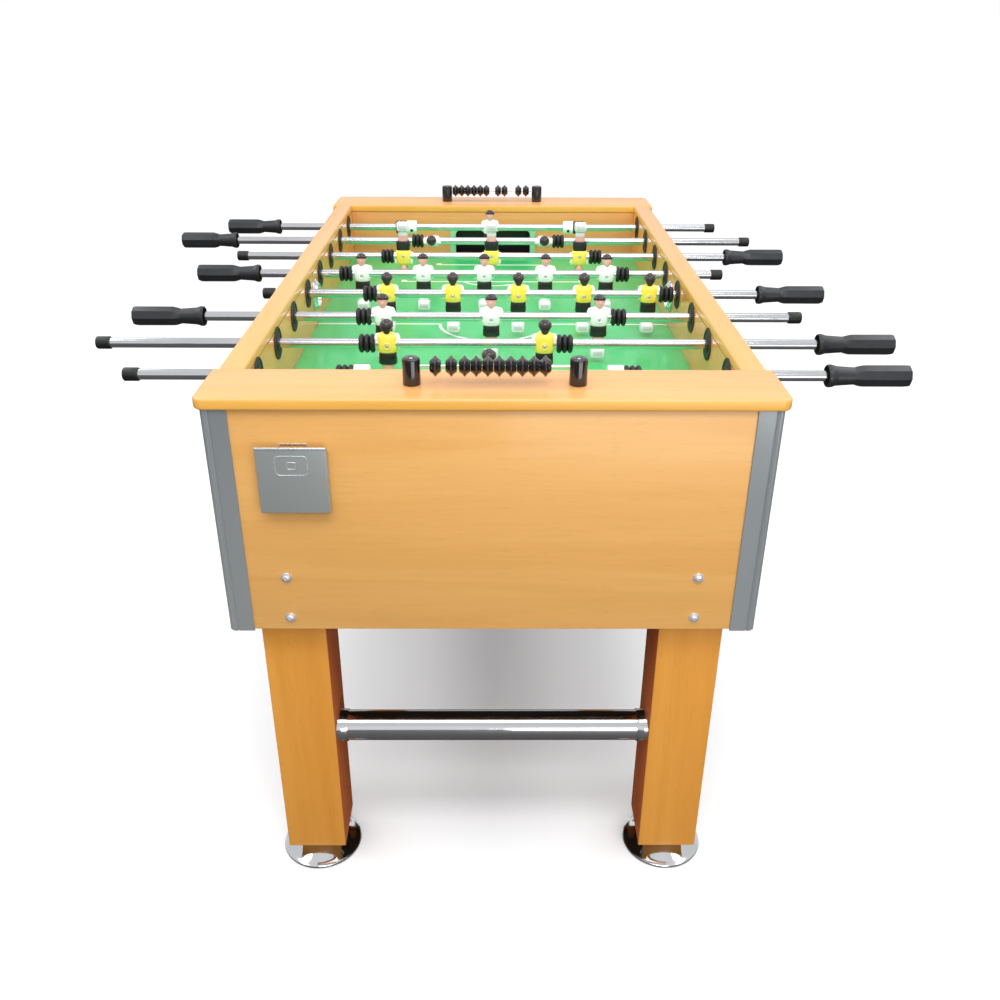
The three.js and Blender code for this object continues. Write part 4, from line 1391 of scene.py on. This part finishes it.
def man():
    bm = bmesh.new()
    shirt = [(18.4, 4.6, 4.4, 0), (17.6, 10, 6.4, 0), (15.8, 14.4, 8.6, 0), (11, 16.4, 10.3, 0.3),
             (3, 17, 10.8, 0.4), (-5, 16.8, 10.8, 0.2), (-10, 16.0, 10.2, 0), (-13, 14.6, 9.4, 0),
             (-14, 13.2, 8.6, 0)]
    shorts = [(-12.6, 12.6, 8.0, 0), (-14, 13.8, 8.9, 0), (-23, 14.4, 9.2, 0),
              (-31.4, 14.8, 9.2, 0), (-32.8, 13.8, 8.6, 0)]
    knees = [(-32.0, 9.6, 6.4, 0), (-35, 10.2, 6.8, 0), (-41, 9.6, 6.6, 0), (-44.6, 9.2, 6.2, 0)]
    socks = [(-43.6, 9.4, 6.6, 0), (-44.6, 10.0, 7.0, 0), (-50, 9.6, 6.8, 0), (-54, 9.8, 7.6, 0)]
    neck = [(16, 5.2, 5.0, 0), (18.2, 4.6, 4.6, 0), (21, 4.5, 4.6, 0)]
    add(bm, body_part(shirt, 2.8), finish=SHIRT)
    add(bm, body_part(shorts, 3.2), finish=SHORTS)
    add(bm, body_part(knees, 2.6), finish=SKIN)
    add(bm, body_part(socks, 2.6), finish=SOCK)
    add(bm, body_part(neck, 2.0, 20), finish=SKIN)
    add(bm, boots())
    for side in (-1, 1):
        add(bm, sleeve(side), finish=SLEEVE)
    add(bm, head(), finish=SKIN)
    add(bm, hair(), finish=HAIR)
    add(bm, headband(), finish=BAND)
    for turn in (90, -90):
        rim, screw = shirt_screw()
        place = Matrix.Translation((0, 0, -2 * MM)) @ Matrix.Rotation(math.radians(turn), 4, "X")
        add(bm, rim, place, SHIRT)
        add(bm, screw, place, SCREW)
    return bm


pattern = man()
print("one man has", len(pattern.faces), "faces")

# %% [markdown]
# Every man is a copy of that pattern. Each team faces the other's goal: yellow looks up the table,
# and the half turn of white's rods turns white's men as well. The pattern looks towards -Y, so it
# is turned once before it goes on its rod.

# %% Twenty-two men
about_face = Matrix.Rotation(math.pi, 4, "Z")
for rod in rods:
    name = rod["name"]
    for number, x in enumerate(rod["kind"]["men"], 1):
        figure = pattern.copy()
        figure.transform(rod["spinning"] @ Matrix.Translation((x * MM, 0, 0)) @ about_face)
        place_piece(
            f"{name}_man_{number}", figure, MAN_FINISHES[rod["team"]], f"{name}_spinner",
            [f"{name}_rod"], sharp=40,
        )
pattern.free()
print("men", sum(len(rod["kind"]["men"]) for rod in rods))

# %% [markdown]
# ## The floor
# A plain pale floor catches the soft shadow under the table. Only the camera sees it white: to
# bounced light and reflections it is a dim grey, so that it doesn't bleach the underside of the
# chrome. It is part of the studio and not of the object.

# %% Floor
FLOOR_SIZE = 60
FLOOR_GAP = 0.2 * MM
floor_paint, floor_tree, floor_shader = new_finish("studio_floor", 0.6, specular=0.2)
floor_ray = floor_tree.nodes.new("ShaderNodeLightPath")
floor_tone = ramp(floor_tree, floor_ray.outputs["Is Camera Ray"], (0.0, 0.07), (1.0, 0.98))
floor_tree.links.new(floor_tone, floor_shader.inputs["Base Color"])
floor_bm = bmesh.new()
bmesh.ops.create_grid(floor_bm, x_segments=1, y_segments=1, size=FLOOR_SIZE)
bmesh.ops.translate(floor_bm, vec=(0, 0, floor_z - FLOOR_GAP), verts=floor_bm.verts[:])
floor_mesh = bpy.data.meshes.new("studio_floor")
floor_bm.to_mesh(floor_mesh)
floor_bm.free()
floor_mesh.materials.append(floor_paint)
floor = bpy.data.objects.new("studio_floor", floor_mesh)
scene.collection.objects.link(floor)
print("floor at", round(floor_z, 3))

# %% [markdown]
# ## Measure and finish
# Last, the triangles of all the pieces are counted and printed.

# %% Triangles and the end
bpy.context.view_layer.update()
triangles = sum(
    len(polygon.vertices) - 2
    for piece in scene.objects if piece.type == "MESH"
    for polygon in piece.data.polygons
)
print("sizes written,", triangles, "triangles in all")
